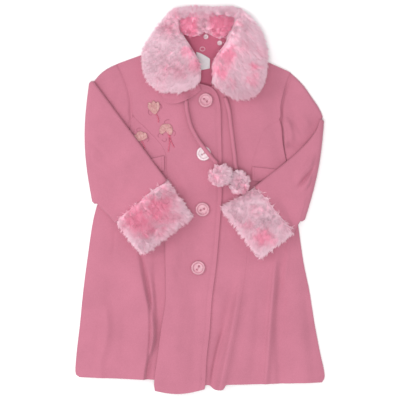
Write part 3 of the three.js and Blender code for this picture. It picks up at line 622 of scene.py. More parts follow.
# Creases of each sleeve, first of its upper arm and then of the forearm that lies on top
UPPER_CREASES = {
    "right": named_rows(CREASE_COLUMNS, [
        (-132, 190, -150, 150, 3, -0.8, 5),
        (-120, 168, -134, 146, 1, 0.7, 4),
    ]),
    "left": named_rows(CREASE_COLUMNS, [
        (146, 176, 164, 128, -3, -0.9, 5),
        (140, 134, 146, 84, 2, 3.2, 4.5),
        (150, 138, 162, 108, 2, -1.6, 4),
        (160, 150, 178, 126, 2, 1.2, 5),
        (188, 116, 142, 74, 7, -3.0, 5),
        (178, 150, 150, 100, 3, 1.8, 8),
    ]),
}
FORE_CREASES = {
    "right": named_rows(CREASE_COLUMNS, [
        (-180, 92, -150, 70, 2, -1.2, 5),
        (-178, 60, -140, 46, -3, 1.1, 7),
        (-168, 30, -128, 12, 3, -0.9, 6),
        (-150, 140, -118, 92, 3, 0.8, 9),
        (-126, 84, -92, 40, 2, -0.7, 8),
        (-140, -8, -112, -22, 2, 0.8, 6),
    ]),
    "left": named_rows(CREASE_COLUMNS, [
        (200, 72, 156, 26, -3, -4.6, 3.0),
        (192, 84, 152, 40, -3, 2.4, 6),
        (196, 56, 164, 18, -2, 3.0, 5),
        (196, 42, 172, 12, -2, -2.6, 3.6),
        (186, 96, 150, 70, 3, -0.9, 6),
        (176, 14, 150, 0, 3, -1.0, 6),
        (150, 66, 112, 26, 2, 0.8, 8),
        (160, -24, 138, -34, 2, 0.9, 5),
    ]),
}
SLEEVE_ACROSS = 58

# How round the flat tube's edges are outside and inside, and how closely the forearm follows its
# bed: the passes that smooth the bed and the most that they may take off it
SLEEVE_ROUND = 3.4
SLEEVE_ROUND_INSIDE = 2.0
BED_PASSES = 14
BED_LOSS = 0.7

# The dip at the armhole's seam and the raised cap beside it, as shares of the way to the fold
SEAM_AT = 0.03
SEAM_DEPTH = 1.8
CAP_AT = 0.11
CAP_BEFORE = 0.045
CAP_AFTER = 0.15


def line_across(line, count, side):
    (up_x, up_y), (low_x, low_y), bow = line
    share = np.linspace(0, 1, count)
    x = lerp(up_x, low_x, share) + side * bow * np.sin(np.pi * share)
    return np.column_stack([x, lerp(up_y, low_y, share), np.zeros(count)])


def armhole_line(half, side, count):
    line = half["armhole"]
    steps = distances(line)
    points = at_distances(np.linspace(0, steps[-1], count), steps, line)
    along = np.gradient(points, axis=0)
    away = unit_rows(np.column_stack([along[:, 1], -along[:, 0]]))
    points = points + side * SEAM_MEET * away
    return np.column_stack([points, np.zeros(count)])


def sleeve_ring(middle, half, turn, side, over_lift, under_lift):
    """The outer and inner ring of the flat tube over one line of middle points."""
    normal = np.array([-side * math.sin(turn), 0, math.cos(turn)])
    steps = distances(middle)
    rings = []
    for reach, inset, radius in ((half, 0, SLEEVE_ROUND),
                                 (half - SLEEVE_WALL, SLEEVE_WALL, SLEEVE_ROUND_INSIDE)):
        places = np.interp(np.linspace(0, 1, len(middle)), [0, 1], [inset, steps[-1] - inset])
        edge = np.minimum(places - inset, steps[-1] - inset - places)
        line = at_distances(places, steps, middle)
        height = reach * np.sqrt(np.clip(1 - (1 - np.clip(edge / radius, 0, 1)) ** 2, 0.02, 1))
        over = line + normal * height[:, None]
        under = line - normal * height[:, None]
        over[:, 2] += over_lift
        under[:, 2] += under_lift
        rings.append(np.vstack([over, under[::-1]]))
    return rings


def edge_spaced(count):
    """Shares from 0 to 1 that lie closer together at both ends."""
    even = np.linspace(0, 1, count)
    return lerp(even, 0.5 - 0.5 * np.cos(np.pi * even), 0.75)


def respace(line):
    return resample(line, edge_spaced(len(line)))


def above_forearm(data, x, y):
    """How far a place on the upper arm lies above the forearm's upper edge."""
    (up_x, up_y), _, _ = data["fold"]
    (end_x, end_y), _, _ = data["cuff_seam"]
    length = math.hypot(end_x - up_x, end_y - up_y)
    return np.abs((x - up_x) * (end_y - up_y) - (y - up_y) * (end_x - up_x)) / length * (
        np.where(y > np.interp(x, *sorted_line(up_x, up_y, end_x, end_y)), 1, -1))


def sorted_line(first_x, first_y, second_x, second_y):
    if first_x < second_x:
        return (first_x, second_x), (first_y, second_y)
    return (second_x, first_x), (second_y, first_y)


def eased(field, passes=5):
    """A grid of heights with its steps smoothed out."""
    for _ in range(passes):
        padded = np.pad(field, 1, "edge")
        field = (padded[:-2, 1:-1] + padded[2:, 1:-1] + padded[1:-1, :-2] + padded[1:-1, 2:]
                 + 2 * padded[1:-1, 1:-1]) / 6
    return field


def sleeve(name, data):
    side = data["side"]
    armhole = respace(armhole_line(data["half"], side, SLEEVE_ACROSS))
    fold_line = respace(line_across(data["fold"], SLEEVE_ACROSS, side))
    cuff_line = respace(line_across(data["cuff_seam"], SLEEVE_ACROSS, side))
    share = edge_spaced(SLEEVE_ACROSS)
    outer = []
    inner = []

    def section(middle, half, turn, over_lift=0, under_lift=0):
        outer_ring, inner_ring = sleeve_ring(middle, half, turn, side, over_lift, under_lift)
        outer.append(outer_ring)
        inner.append(inner_ring)

    for along in np.concatenate([[0, 0.01, 0.03, 0.05, 0.075, 0.1], np.linspace(0.125, 0.95, 22)]):
        half = lerp(ARMHOLE_HALF, SLEEVE_HALF, smooth(along, 0, 0.4))
        middle = lerp(armhole, fold_line, along)
        bulge = data["bulge"] * math.sin(math.pi * along) * (1 - share) ** 2
        slack = data["underarm_slack"] * math.sin(math.pi * along) * share ** 4
        corner = data["corner"] * smooth(along, 0.5, 0.95) * (1 - share) ** 6
        middle[:, 0] += side * (0.8 * bulge + slack + corner)
        middle[:, 1] += 0.6 * bulge
        middle[:, 2] = half
        lift = crease_height(UPPER_CREASES[name], middle[:, 0], middle[:, 1])
        lift = lift + 0.6 * ripple(middle[:, 0], middle[:, 1])
        lift = lift * smooth(along, 0, 0.12) * smooth(1 - along, 0, 0.2)
        dip = -SEAM_DEPTH * math.exp(-((along - SEAM_AT) / SEAM_AT) ** 2)
        cap_width = CAP_BEFORE if along < CAP_AT else CAP_AFTER
        cap = data["cap"] * math.exp(-((along - CAP_AT) / cap_width) ** 2)
        cap = cap * smooth(share, 0.2, 0.55) * (1 - smooth(share, 0.93, 1))
        free = smooth(above_forearm(data, middle[:, 0], middle[:, 1]) + data["sag"] / 2, 3, 12)
        section(middle, half, 0, np.minimum(lift, 0.4 + 3 * free) + cap * free + dip)
    for degrees in np.linspace(0, 180, 13):
        turn = math.radians(degrees)
        middle = fold_line.copy()
        middle[:, 0] += side * FOLD_RADIUS * math.sin(turn)
        middle[:, 2] = SLEEVE_HALF + FOLD_RADIUS * (1 - math.cos(turn))
        section(middle, SLEEVE_HALF, turn)
    shares = np.concatenate([np.linspace(0.03, 0.97, 44), [1.0]])
    lines = np.array([lerp(fold_line, cuff_line, along) for along in shares])
    lines[..., 1] -= data["sag"] * np.sin(np.pi * np.sqrt(shares))[:, None] * (1 - share) ** 2
    laid = np.maximum(lay_on(lines[..., 0], lines[..., 1]) + LAY_GAP, 2 * FOLD_RADIUS)
    laid = np.maximum(eased(laid, BED_PASSES), laid - BED_LOSS)
    for along, middle, bed in zip(shares, lines, laid):
        into_cuff = (CUFF_WALL_UNDER - SLEEVE_HALF) * smooth(along, 0.75, 1)
        middle[:, 2] = bed + SLEEVE_HALF + into_cuff
        lift = crease_height(FORE_CREASES[name], middle[:, 0], middle[:, 1])
        lift = lift + 1.1 * ripple(middle[:, 0] + 40, middle[:, 1]) + 1.6 * np.sin(np.pi * share) ** 0.6
        section(middle, SLEEVE_HALF, math.pi, 0, lift * smooth(along, 0, 0.12))
    around = np.array([np.vstack([ring, ring[:1]]) for ring in outer])
    return around, ring_loft(f"sleeve_{name}_cloth", outer, inner)


# Fur pieces
FUR_WINGS = {
    "right": [
        (304, -46, -32, 12), (296, -53, -29.5, 22), (282, -64, -29, 28), (266, -76, -26, 32),
        (250, -86, -16, 34), (234, -91, -6, 34), (218, -91, 2, 33), (202, -88, 4, 32),
        (188, -81, 1, 29), (178, -71, -10, 22), (172, -59, -30, 11),
    ],
    "left": [
        (308, 66, 46, 12), (299, 76, 54, 22), (284, 89, 51, 29), (268, 99, 44, 33),
        (250, 105, 38, 35), (234, 107, 26, 35), (216, 107, 18, 35), (200, 105, 18, 34),
        (186, 101, 18, 32), (172, 92, 33, 26), (161, 77, 54, 12),
    ],
}
FUR_BACK = [
    (-25.7, 265, -29.2, 299, 17), (-20, 261, -22, 306, 21), (-8, 259, -8, 308, 23), (6, 266, 6, 308, 24),
    (20, 260, 22, 306, 24), (33, 256, 39, 307, 23), (43, 267, 51.5, 297, 18),
]


# Where a fur ring is widest, as a share of its height
RING_WAIST = 0.36


def soft_ring(start, end, height, bottom_at, count):
    """A round-topped, flat-bottomed ring across a line."""
    angle = full_turn(count)
    cosine = np.cos(angle)
    sine = np.sin(angle)
    across = 0.5 - 0.5 * np.sign(cosine) * np.abs(cosine) ** 0.7
    points = lerp(np.asarray(start, float)[None, :], np.asarray(end, float)[None, :], across[:, None])
    waist = RING_WAIST * height
    share = np.abs(sine) ** 0.75
    rise = np.where(sine >= 0, waist + (height - waist) * share, waist * (1 - share))
    return np.column_stack([points, bottom_at(points[:, 0], points[:, 1]) + rise])


# How far above the shoulder the fur's bed starts to rise, and over what length
STEEP_SLOPE = (14, 12)
EASY_SLOPE = (38, 62)


def slope_bed(x, y, slope):
    """What the fur lies on: the back above the shoulder, and the fronts below it."""
    above, length = slope
    on_body = smooth(shoulder_y(x) + above - y, 0, length)
    over_body = overlap_top(x, np.minimum(y, shoulder_y(x) - 30)) + COLLAR_WALL + FUR_SEAT
    return lerp(GAP + BACK_THICKNESS, over_body, on_body)


def fur_bed(x, y):
    return slope_bed(x, y, STEEP_SLOPE)


def back_bed(x, y):
    return lerp(0.6, BACK_THICKNESS + 0.6, smooth(-y, -286, -278))


# Faces turned down further than this grow no pile, and are drawn in by a share of the inset only
FACES_DOWN = -0.25
BACK_FACES_DOWN = 0.05
UNDERSIDE_INSET = 0.35


def fur_core(name, rings, inner=None, inset=5.2, faces_down=FACES_DOWN):
    """The skin below the pile: the piece's outer form, drawn in; no pile grows on its underside."""
    piece = ring_loft(name, rings, inner)
    mesh = piece.data
    normals = np.empty(len(mesh.vertices) * 3)
    places = np.empty(len(mesh.vertices) * 3)
    mesh.vertices.foreach_get("normal", normals)
    mesh.vertices.foreach_get("co", places)
    normals = normals.reshape(-1, 3)
    places = places.reshape(-1, 3)
    outside = np.ones(len(places))
    if inner is not None:
        outside[len(np.asarray(rings).reshape(-1, 3)):] = 0
    facing_down = normals[:, 2] < faces_down
    depth = np.where(facing_down, inset * UNDERSIDE_INSET, inset) * outside
    places = places - normals * depth[:, None] * MM
    mesh.vertices.foreach_set("co", places.ravel())
    mesh.update()
    grows = mesh.attributes.new("grows", "FLOAT", "POINT")
    grows.data.foreach_set("value", np.where(facing_down, 0.0, outside))
    return piece


def soft_bed(x, y):
    """The bed as the fur's top face follows it, with a long easy slope over the shoulder."""
    return slope_bed(x, y, EASY_SLOPE)


def wing(name):
    rings = []
    for y, outer_x, inner_x, height in spline(FUR_WINGS[name], 5):
        ring = soft_ring((outer_x, y), (inner_x, y), height, fur_bed, 60)
        bed = fur_bed(ring[:, 0], ring[:, 1])
        share = np.clip((ring[:, 2] - bed) / height, 0, 1)
        ring[:, 2] += share * (soft_bed(ring[:, 0], ring[:, 1]) - bed)
        rings.append(ring)
    return fur_core(f"collar_fur_{name}_skin", rings)


# The rolled top edge of the collar, from wing to wing: its middle line, height and half width
COLLAR_ROLL = [
    (-52, 284, 19, 10), (-41, 293, 18, 10), (-24, 297, 16, 9.5), (-4, 298, 15.5, 9), (16, 297.5, 16, 9),
    (36, 298, 17, 9.5), (52, 297, 18, 10), (66, 289, 19, 10),
]


def collar_roll():
    rows = spline(COLLAR_ROLL, 6)
    along = unit_rows(np.gradient(rows[:, :2], axis=0))
    angle = full_turn(40)
    rings = []
    for place, (x, y, height, half) in enumerate(rows):
        taper = math.sqrt(max(1 - (2 * place / (len(rows) - 1) - 1) ** 8, 0.05))
        across = half * taper * np.cos(angle)
        rise = height * taper * np.sin(angle) * 0.72
        rings.append(np.column_stack([
            x - along[place, 1] * across, y + along[place, 0] * across, height * 0.86 + rise]))
    return fur_core("collar_roll_skin", rings, inset=4.2)


# How far the fur behind the neck reaches in below each wing
BACK_FUR_REACH = 6.5


def collar_back():
    rows = spline(FUR_BACK, 5)
    rows[:, [0, 2]] += BACK_FUR_REACH * np.linspace(-1, 1, len(rows))[:, None] ** 5
    rings = [soft_ring(row[0:2], row[2:4], row[4], back_bed, 48) for row in rows]
    return fur_core("collar_fur_back_skin", rings, inset=4.4, faces_down=BACK_FACES_DOWN)


# How far the cuff's skin starts back over the sleeve's end, before it is drawn in, and where its
# opening starts, as a share of its width
CUFF_OVER_SLEEVE = 3.6
CUFF_SLIT_IN = 0.12

# A cuff's wall above its opening, its height at both ends and how much it swells between them, and
# its rounded ends: their length and how low they start
CUFF_WALL_OVER = 18
CUFF_END_HEIGHT = 0.84
CUFF_SWELL = 0.16
CUFF_SWELLS_BETWEEN = (0.16, 0.84)
CUFF_ROUND_LENGTH = 0.13
CUFF_ROUND_START = 0.74


def cuff(name, data):
    start = np.array(data["cuff_seam"][:2], float)
    end = np.array(data["cuff_end"][:2], float)
    direction = (end - start).sum(axis=0)
    direction /= np.linalg.norm(direction)

    def bottom_at(x, y):
        return lay_on(x, y, CUFF_REACH) + LAY_GAP

    outer = []
    inner = []
    for along in np.concatenate([[0, 0.02, 0.06], np.linspace(0.12, 0.9, 20), [0.95, 0.98, 1]]):
        start_gap = GAP * 2 * (1 - along) - CUFF_OVER_SLEEVE * (1 - along) ** 12
        line = lerp(start, end, along) + direction * start_gap
        swell = CUFF_END_HEIGHT + CUFF_SWELL * math.sin(math.pi * np.clip(along, *CUFF_SWELLS_BETWEEN))
        slit = CUFF_HEIGHT * swell - CUFF_WALL_UNDER - CUFF_WALL_OVER * swell
        near = min(along, 1 - along) / CUFF_ROUND_LENGTH
        grown = (1 - CUFF_ROUND_START) * math.sqrt(1 - (1 - min(near, 1)) ** 2)
        rounded = CUFF_ROUND_START + grown
        height = CUFF_HEIGHT * swell * rounded
        outer.append(soft_ring(line[0], line[1], height, bottom_at, 60))
        slit_start = lerp(line[0], line[1], CUFF_SLIT_IN)
        slit_end = lerp(line[1], line[0], CUFF_SLIT_IN)
        inner.append(soft_ring(slit_start, slit_end, slit,
                               lambda x, y: bottom_at(x, y) + CUFF_WALL_UNDER, 60))
    return fur_core(f"cuff_{name}_skin", outer, inner)


# Cloth collar, pocket flaps, ties and small parts
CLOTH_COLLARS = {
    "right": [
        (-66, 186, -65, 170), (-58, 188, -57, 157), (-44, 189, -43, 153), (-28, 187, -26, 157),
        (-13, 186, -11, 165), (-1, 184, 2, 175),
    ],
    "left": [
        (84, 188, 80, 172), (72, 190, 69, 168), (58, 190, 57, 169), (45, 190, 45, 175), (36, 190, 37, 181),
    ],
}
TIE_TUNNEL = {"x": -22, "y": 157, "width": 11, "rise": 9}
BUTTONS = named_rows("x y turn", [(9, 159, 140), (6, 74, 35), (4, -15, 25), (-3, -108, 60)])
PEARL_BUTTON = 2
HOLE_OUT = 0.13
COLLAR_BUTTONS = {"right": (9.6, 261), "left": (31.5, 251)}
TIES = {
    "right": [
        (-22, 159, 0), (-22, 152, 0), (-21, 143, 0), (-19, 134, 0), (-17, 125, 0), (-13.5, 115, 0),
        (-9, 106, 0), (-4, 97, 1.5), (2, 88, 4), (7.5, 81, 5), (13, 74, 5), (18, 67.5, 4),
        (23, 62, 2.5), (27, 57.5, 2.5),
    ],
    "left": [
        (40, 163, 0), (43, 154, 0), (46, 143, 0), (47.5, 131, 0), (49, 118, 0), (50.5, 106, 0), (52, 94, 0),
        (53.5, 82, 0), (55, 70, 0), (56, 59, 1), (57.5, 48.5, 3),
    ],
}
POMPOMS = {"right": (32, 40, 37, 34, 31), "left": (62.5, 28, 29, 37, 30)}
POMPOM_CORE = 0.78

# Applied flowers: a fan of petals each, stems of small beads and sewn curls
FLOWER_COLUMNS = "x y radius turn spread petals base"
FLOWERS = named_rows(FLOWER_COLUMNS, [
    (-73, 147, 12, 8, 60, 3, 0.95),
    (-54, 112, 10.5, -6, 214, 4, 0.25),
    (-95, 102, 9, 14, 120, 3, 0.85),
])
STEM_COLUMNS = "x y length lean bow"
STEMS = named_rows(STEM_COLUMNS, [
    (-70, 137, 13, 16, 1.5),
    (-51, 108, 30, 1, 2.0),
    (-48, 104, 20, 18, -1.5),
    (-93, 94, 12, 24, 0.5),
])
CURL_COLUMNS = "x y size turn sweep"
CURLS = named_rows(CURL_COLUMNS, [
    (-77, 139, 7, 110, 150), (-66, 150, 6, -40, 120), (-64, 102, 5, 20, 200), (-56, 97, 4.5, 200, 180),
    (-44, 108, 6, -60, 130), (-54, 121, 8, 60, 70), (-86, 99, 6, -70, 130), (-98, 111, 4, 60, 240),
])
PETAL_LOW = 0.5
PETAL_WALL = 0.3
SEWING_RISE = 0.1
STITCH = {"length": 2.4, "thread": 0.42, "step": 1.45}
BEAD_DIAMETER = 2.1
BEAD_STEP = 1.04

# Columns in from the edge where the stitches run, and the rows of the front edge that are stitched
COLLAR_STITCH_IN = 7
FLAP_STITCH_IN = 6
FRONT_STITCHED = slice(20, -8)
NECK_LABEL = {"x": 5, "y": 222, "width": 22, "height": 29, "thickness": 0.6}
LABEL_SLIP = 11.0
TAPE_WALL = 0.5
TAPE_ROUND = 0.2
HANG_LOOP = {"x": 4, "y": 241.4, "length": 9.5, "width": 8, "cord": 1.6}


def cloth_collar(name):
    rows = np.array(CLOTH_COLLARS[name], float)
    inner = resample(spline(rows[:, :2], 10), clustered(46, edge=0.015))
    outer = resample(spline(rows[:, 2:], 10), clustered(46, edge=0.015))
    across = clustered(16, edge=0.05)
    x = lerp(inner[:, None, 0], outer[:, None, 0], across[None, :])
    y = lerp(inner[:, None, 1], outer[:, None, 1], across[None, :])
    tunnel = TIE_TUNNEL["rise"] * np.exp(-((x - TIE_TUNNEL["x"]) ** 2 + (y - TIE_TUNNEL["y"]) ** 2)
                                         / TIE_TUNNEL["width"] ** 2)
    stitched = -0.6 * np.exp(-((across - 0.86) / 0.05) ** 2)[None, :]
    puff = 0.5 * np.sin(x / 5.5 + y / 9) * across[None, :]
    height = eased(lay_on(x, y, 3)) + GAP + COLLAR_WALL + 0.9 + tunnel + stitched + np.minimum(puff, 0.3)
    grid = np.dstack([x, y, height])
    return grid, cloth_shell(f"collar_cloth_{name}_cloth", grid, COLLAR_WALL, 0.9)


def pocket_flap(name, pocket):
    across = clustered(40, edge=0.02)
    down = clustered(16, edge=0.05)
    x = lerp(pocket["inner_x"], pocket["outer_x"], across)[None, :] + 0 * down[:, None]
    y = pocket["top_y"] + pocket["drop"] * across[None, :] - pocket["depth"] * down[:, None]
    top_at = overlap_top if name == "right" else front_top
    edge = np.minimum(np.minimum(across, 1 - across)[None, :] * 60, (1 - down)[:, None] * 22)
    stitched = -0.5 * np.exp(-((edge - 3.2) / 0.9) ** 2)
    height = top_at(x, y) + GAP + WALL + 0.6 + stitched
    grid = np.dstack([x, y, height])
    return grid, cloth_shell(f"pocket_flap_{name}_cloth", grid)


def tie_route(name):
    rows = spline(TIES[name], 4)
    height = lay_on(rows[:, 0], rows[:, 1], 3) + TIE_LIFT + TIE_DIAMETER / 2 + rows[:, 2]
    height = np.convolve(np.pad(height, 2, "edge"), np.ones(5) / 5, "valid")
    return np.column_stack([rows[:, :2], np.maximum(height, tie_floor(rows))])


def tie_floor(rows):
    return body_top(rows[:, 0], rows[:, 1]) + TIE_DIAMETER / 2 + GAP


def tie_tube(name, route):
    """A stuffed tube of cloth, cut on the bias, so it wrinkles a little along its length."""
    along = unit_rows(np.gradient(route, axis=0))
    sideways = unit_rows(np.cross(along, [0, 0, 1.0]))
    up = np.cross(sideways, along)
    steps = distances(route)
    fine = np.linspace(0, steps[-1], 100)
    place, sideways, up = (at_distances(fine, steps, part) for part in (route, sideways, up))
    angle = full_turn(14)
    rings = []
    for level, distance in enumerate(fine):
        wrinkle = 1 + 0.035 * np.sin(distance * 1.3 + 2 * angle) + 0.02 * np.sin(distance * 2.1 - angle)
        radius = (TIE_DIAMETER / 2 - TIE_SLACK) * wrinkle
        ring = (place[level] + sideways[level] * (radius * np.cos(angle))[:, None]
                + up[level] * (radius * np.sin(angle))[:, None])
        rings.append(ring)
    return ring_loft(f"tie_{name}_cloth", rings)


def pompom_skin(name):
    x, y, length_x, length_y, height = POMPOMS[name]
    centre = np.array([x, y, lay_on(x, y, 9) + LAY_GAP + height / 2])
    angle = full_turn(32)
    rings = []
    for polar in math.pi * np.linspace(0.04, 0.96, 18):
        ring = np.column_stack([np.cos(angle) * math.sin(polar), np.sin(angle) * math.sin(polar),
                                np.full(len(angle), math.cos(polar))])
        rings.append(centre + ring * np.array([length_x, length_y, height]) * POMPOM_CORE / 2)
    return fur_core(f"pompom_{name}_skin", rings, inset=0)


def lay_frame(x, y, reach):
    """Where a flat piece lies on the body cloth: its middle, and three directions of its own."""
    slope_x = float(body_top(x + reach, y) - body_top(x - reach, y)) / (2 * reach)
    slope_y = float(body_top(x, y + reach) - body_top(x, y - reach)) / (2 * reach)
    height = float(body_top(x, y))
    for radius, count in ((reach, 12), (reach / 2, 8)):
        angle = full_turn(count)
        dx = radius * np.cos(angle)
        dy = radius * np.sin(angle)
        height = max(height, float((body_top(x + dx, y + dy) - slope_x * dx - slope_y * dy).max()))
    normal = np.array([-slope_x, -slope_y, 1.0])
    normal /= np.linalg.norm(normal)
    first = np.cross([0, 1.0, 0], normal)
    first /= np.linalg.norm(first)
    return np.array([x, y, height + SEAT_GAP]), first, np.cross(normal, first), normal


def placed(points, spot):
    middle, first, second, normal = spot
    return middle + points[:, :1] * first + points[:, 1:2] * second + points[:, 2:3] * normal


def button_points(diameter, thickness):
    """A lathe-turned button: raised rounded rim, dished middle and two thread holes."""
    radius = diameter / 2
    profile = [(0.0, 0.62), (0.12, 0.62), (0.25, 0.62), (0.4, 0.63), (0.55, 0.66), (0.64, 0.72), (0.7, 0.86),
               (0.76, 0.97), (0.83, 1.0), (0.9, 0.97), (0.955, 0.86), (0.985, 0.7), (1.0, 0.5), (0.985, 0.3),
               (0.95, 0.14), (0.88, 0.03), (0.8, 0.0), (0.5, 0.0), (0.02, 0.0)]
    profile = spline(profile, 3)
    angle = full_turn(56)
    rings = []
    for share, height in profile[1:]:
        ring = np.column_stack([radius * share * np.cos(angle), radius * share * np.sin(angle),
                                np.full(len(angle), thickness * max(height, 0))])
        rings.append(ring)
    rings = np.array(rings)
    top = rings[..., 2] > 0.55 * thickness
    for side in (-1, 1):
        away = np.hypot(rings[..., 0] - side * HOLE_OUT * diameter, rings[..., 1]) / (0.06 * diameter)
        rings[..., 2] -= np.where(top, 0.5 * thickness * np.exp(-away ** 6), 0)
    return rings


def turned(points, turn):
    """Points turned about their own upright axis."""
    cosine, sine = math.cos(turn), math.sin(turn)
    across = points[..., 0] * cosine - points[..., 1] * sine
    along = points[..., 0] * sine + points[..., 1] * cosine
    return np.stack([across, along, points[..., 2]], axis=-1)


def add_button(name, diameter, thickness, spot, turn):
    rings = turned(button_points(diameter, thickness), turn)
    return ring_loft(name, [placed(ring, spot) for ring in rings])


def thread_bar(name, diameter, thickness, spot, turn):
    """The sewing thread from hole to hole, a small bundle of strands."""
    angle = full_turn(10)
    rings = []
    for share in np.linspace(-1, 1, 13):
        rise = thickness * (0.62 + 0.2 * (1 - share ** 2) - 0.25 * abs(share) ** 5)
        bundle = 0.032 * diameter * (1 + 0.12 * np.cos(3 * angle + 4 * share))
        along = np.full(len(angle), share * HOLE_OUT * diameter)
        local = np.column_stack([along, bundle * np.cos(angle), rise + 0.8 * bundle * np.sin(angle)])
        rings.append(placed(turned(local, turn), spot))
    return ring_loft(name, rings)


def flower(name, data, seed):
    """A fan of cupped, overlapping petals of thin cloth, and the lines that they are sewn along."""
    spot = lay_frame(data["x"], data["y"], data["radius"])
    chance = np.random.default_rng(seed)
    half_spread = math.radians(data["spread"] / 2)
    rows, columns = 14, 13
    share = np.linspace(0, 1, rows)[:, None]
    across = np.linspace(-1, 1, columns)[None, :]
    points = []
    faces = []
    sewing = []
    for petal in range(data["petals"]):
        bearing = lerp(-half_spread, half_spread, (petal + 0.5) / data["petals"])
        reach = data["radius"] * (1 + data["base"] * math.cos(bearing)) * chance.uniform(0.94, 1.0)
        width = min(reach * math.tan(half_spread / data["petals"]) * 1.15, 0.62 * reach)
        widths = width * np.clip(np.sin(np.pi * (0.03 + 0.94 * share) ** 1.4), 0.02, 1) ** 0.6
        along = reach * (0.05 + 0.95 * share) * (1 - 0.05 * across ** 2 * share)
        sideways = widths * across
        frill = 0.16 * np.sin(8 * across + 2 * petal) * share ** 2
        height = PETAL_LOW + 0.14 * petal + 0.5 * across ** 2 * np.sin(np.pi * share * 0.8) + frill
        local = np.column_stack([
            (along * math.sin(bearing) + sideways * math.cos(bearing)).ravel(),
            (along * math.cos(bearing) - sideways * math.sin(bearing)).ravel()
            - data["base"] * data["radius"],
            height.ravel()])
        faces += sheet_faces(rows, columns, len(points) * rows * columns)
        turn = math.radians(data["turn"])
        points.append(placed(turned(local, turn), spot))
        points.append(placed(turned(local - np.array([0, 0, PETAL_WALL]), turn), spot))
        top = points[-2].reshape(rows, columns, 3) + np.array([0, 0, SEWING_RISE])
        sewing.append(np.vstack([top[2:, 1], top[-1, 2:-2], top[:1:-1, -2]]))
    points = np.vstack(points)
    return add_mesh(name, points, outward(points, faces)), sewing


def stem_line(data):
    share = np.linspace(0, 1, 12)
    lean = math.radians(data["lean"])
    x = data["x"] + data["length"] * share * math.sin(lean) + data["bow"] * np.sin(np.pi * share)
    y = data["y"] - data["length"] * share * math.cos(lean)
    return np.column_stack([x, y, shown_top(x, y) + BEAD_DIAMETER / 2 - 0.2])


def curl_line(data):
    share = np.linspace(0, 1, 20)
    angle = np.radians(data["turn"] + data["sweep"] * share)
    radius = data["size"] * (1 - 0.5 * share)
    x = data["x"] + radius * np.cos(angle)
    y = data["y"] + radius * np.sin(angle)
    return np.column_stack([x, y, shown_top(x, y) + STITCH["thread"] / 2])


def edge_line(grid, inset):
    """A line along three sides of a flap's grid, a few columns in from its edge."""
    return np.vstack([grid[2:-inset, inset], grid[-inset, inset:-inset], grid[-inset:1:-1, -inset]])


# Node helpers
def add_node(tree, kind, links=(), **settings):
    """A node with its settings; links are (input name or place, value or output socket)."""
    node = tree.nodes.new(kind)
    for name, value in settings.items():
        setattr(node, name, value)
    for place, value in links:
        if isinstance(value, bpy.types.NodeSocket):
            tree.links.new(value, node.inputs[place])
        else:
            node.inputs[place].default_value = value
    return node


def maths(tree, operation, *values):
    """The result of a maths node on values or output sockets."""
    return add_node(tree, "ShaderNodeMath", enumerate(values), operation=operation).outputs[0]


def vector_maths(tree, operation, *values):
    node = add_node(tree, "ShaderNodeVectorMath", enumerate(values), operation=operation)
    return node.outputs["Value" if operation == "DISTANCE" else "Vector"]


def scaled(tree, vector, factor):
    return add_node(tree, "ShaderNodeVectorMath", [(0, vector), ("Scale", factor)],
                    operation="SCALE").outputs["Vector"]


def map_range(tree, *values, interpolation="LINEAR"):
    """A value moved from one range (low, high) to another."""
    return add_node(tree, "ShaderNodeMapRange", enumerate(values),
                    interpolation_type=interpolation).outputs[0]


def new_material(name, surface):
    """A material, its tree and its shader, with the constant values of its surface set."""
    material = bpy.data.materials.new(name)
    material.use_nodes = True
    shader = material.node_tree.nodes["Principled BSDF"]
    for socket, value in surface.items():
        shader.inputs[socket].default_value = value
    return material, material.node_tree, shader


def add_inputs(tree, sizes):
    tree.interface.new_socket("Geometry", in_out="INPUT", socket_type="NodeSocketGeometry")
    tree.interface.new_socket("Geometry", in_out="OUTPUT", socket_type="NodeSocketGeometry")
    kinds = {"float": "NodeSocketFloat", "int": "NodeSocketInt", "material": "NodeSocketMaterial"}
    for name, kind in sizes:
        tree.interface.new_socket(name, in_out="INPUT", socket_type=kinds[kind])
    return tree.nodes.new("NodeGroupInput"), tree.nodes.new("NodeGroupOutput")


def run_tree(source, tree, values, name):
    """The plain mesh that a tree of nodes makes from an object, as a new object."""
    modifier = source.modifiers.new("maker", "NODES")
    modifier.node_group = tree
    sockets = {item.name: item.identifier for item in tree.interface.items_tree if item.in_out == "INPUT"}
    for label, value in values.items():
        modifier[sockets[label]] = value
    graph = bpy.context.evaluated_depsgraph_get()
    mesh = bpy.data.meshes.new_from_object(source.evaluated_get(graph), preserve_all_data_layers=True,
                                           depsgraph=graph)
    source.modifiers.remove(modifier)
    mesh.name = name
    piece = bpy.data.objects.new(name, mesh)
    bpy.context.collection.objects.link(piece)
    return piece


# Deeper pink patches of the fur: place, radius and strength
FUR_SPOTS = [
    (-19, 232, 11, 0.75), (-9, 214, 10, 0.55), (-28, 202, 13, 0.3), (-44, 272, 15, 0.32),
    (-40, 292, 10, 0.3), (-52, 206, 12, 0.18),
    (41, 228, 17, 0.7), (33, 206, 13, 0.75), (26, 222, 9, 0.6), (86, 213, 8, 0.7),
    (69, 244, 12, 0.28), (80, 191, 11, 0.42), (64, 280, 8, 0.35), (50, 186, 9, 0.35), (92, 236, 10, 0.2),
    (-100, -30, 24, 0.85), (-70, -12, 22, 0.85), (-86, -44, 16, 0.7), (-54, 2, 17, 0.62),
    (-112, -42, 11, 0.5), (-50, -26, 16, 0.5), (-84, -20, 30, 0.5), (-64, -48, 10, 0.4),
    (100, -58, 17, 0.75), (76, -38, 11, 0.5), (114, -66, 10, 0.55), (86, -14, 10, 0.3),
    (26, 30, 9, 0.3), (66, 16, 8, 0.35), (62, 30, 9, 0.2),
]


# How far the patches' edges wander in metres, and where a patch starts to fade and ends, as
# shares of its radius
SPOT_WARP = 0.03
SPOT_FULL = 0.2
SPOT_END = 1.45

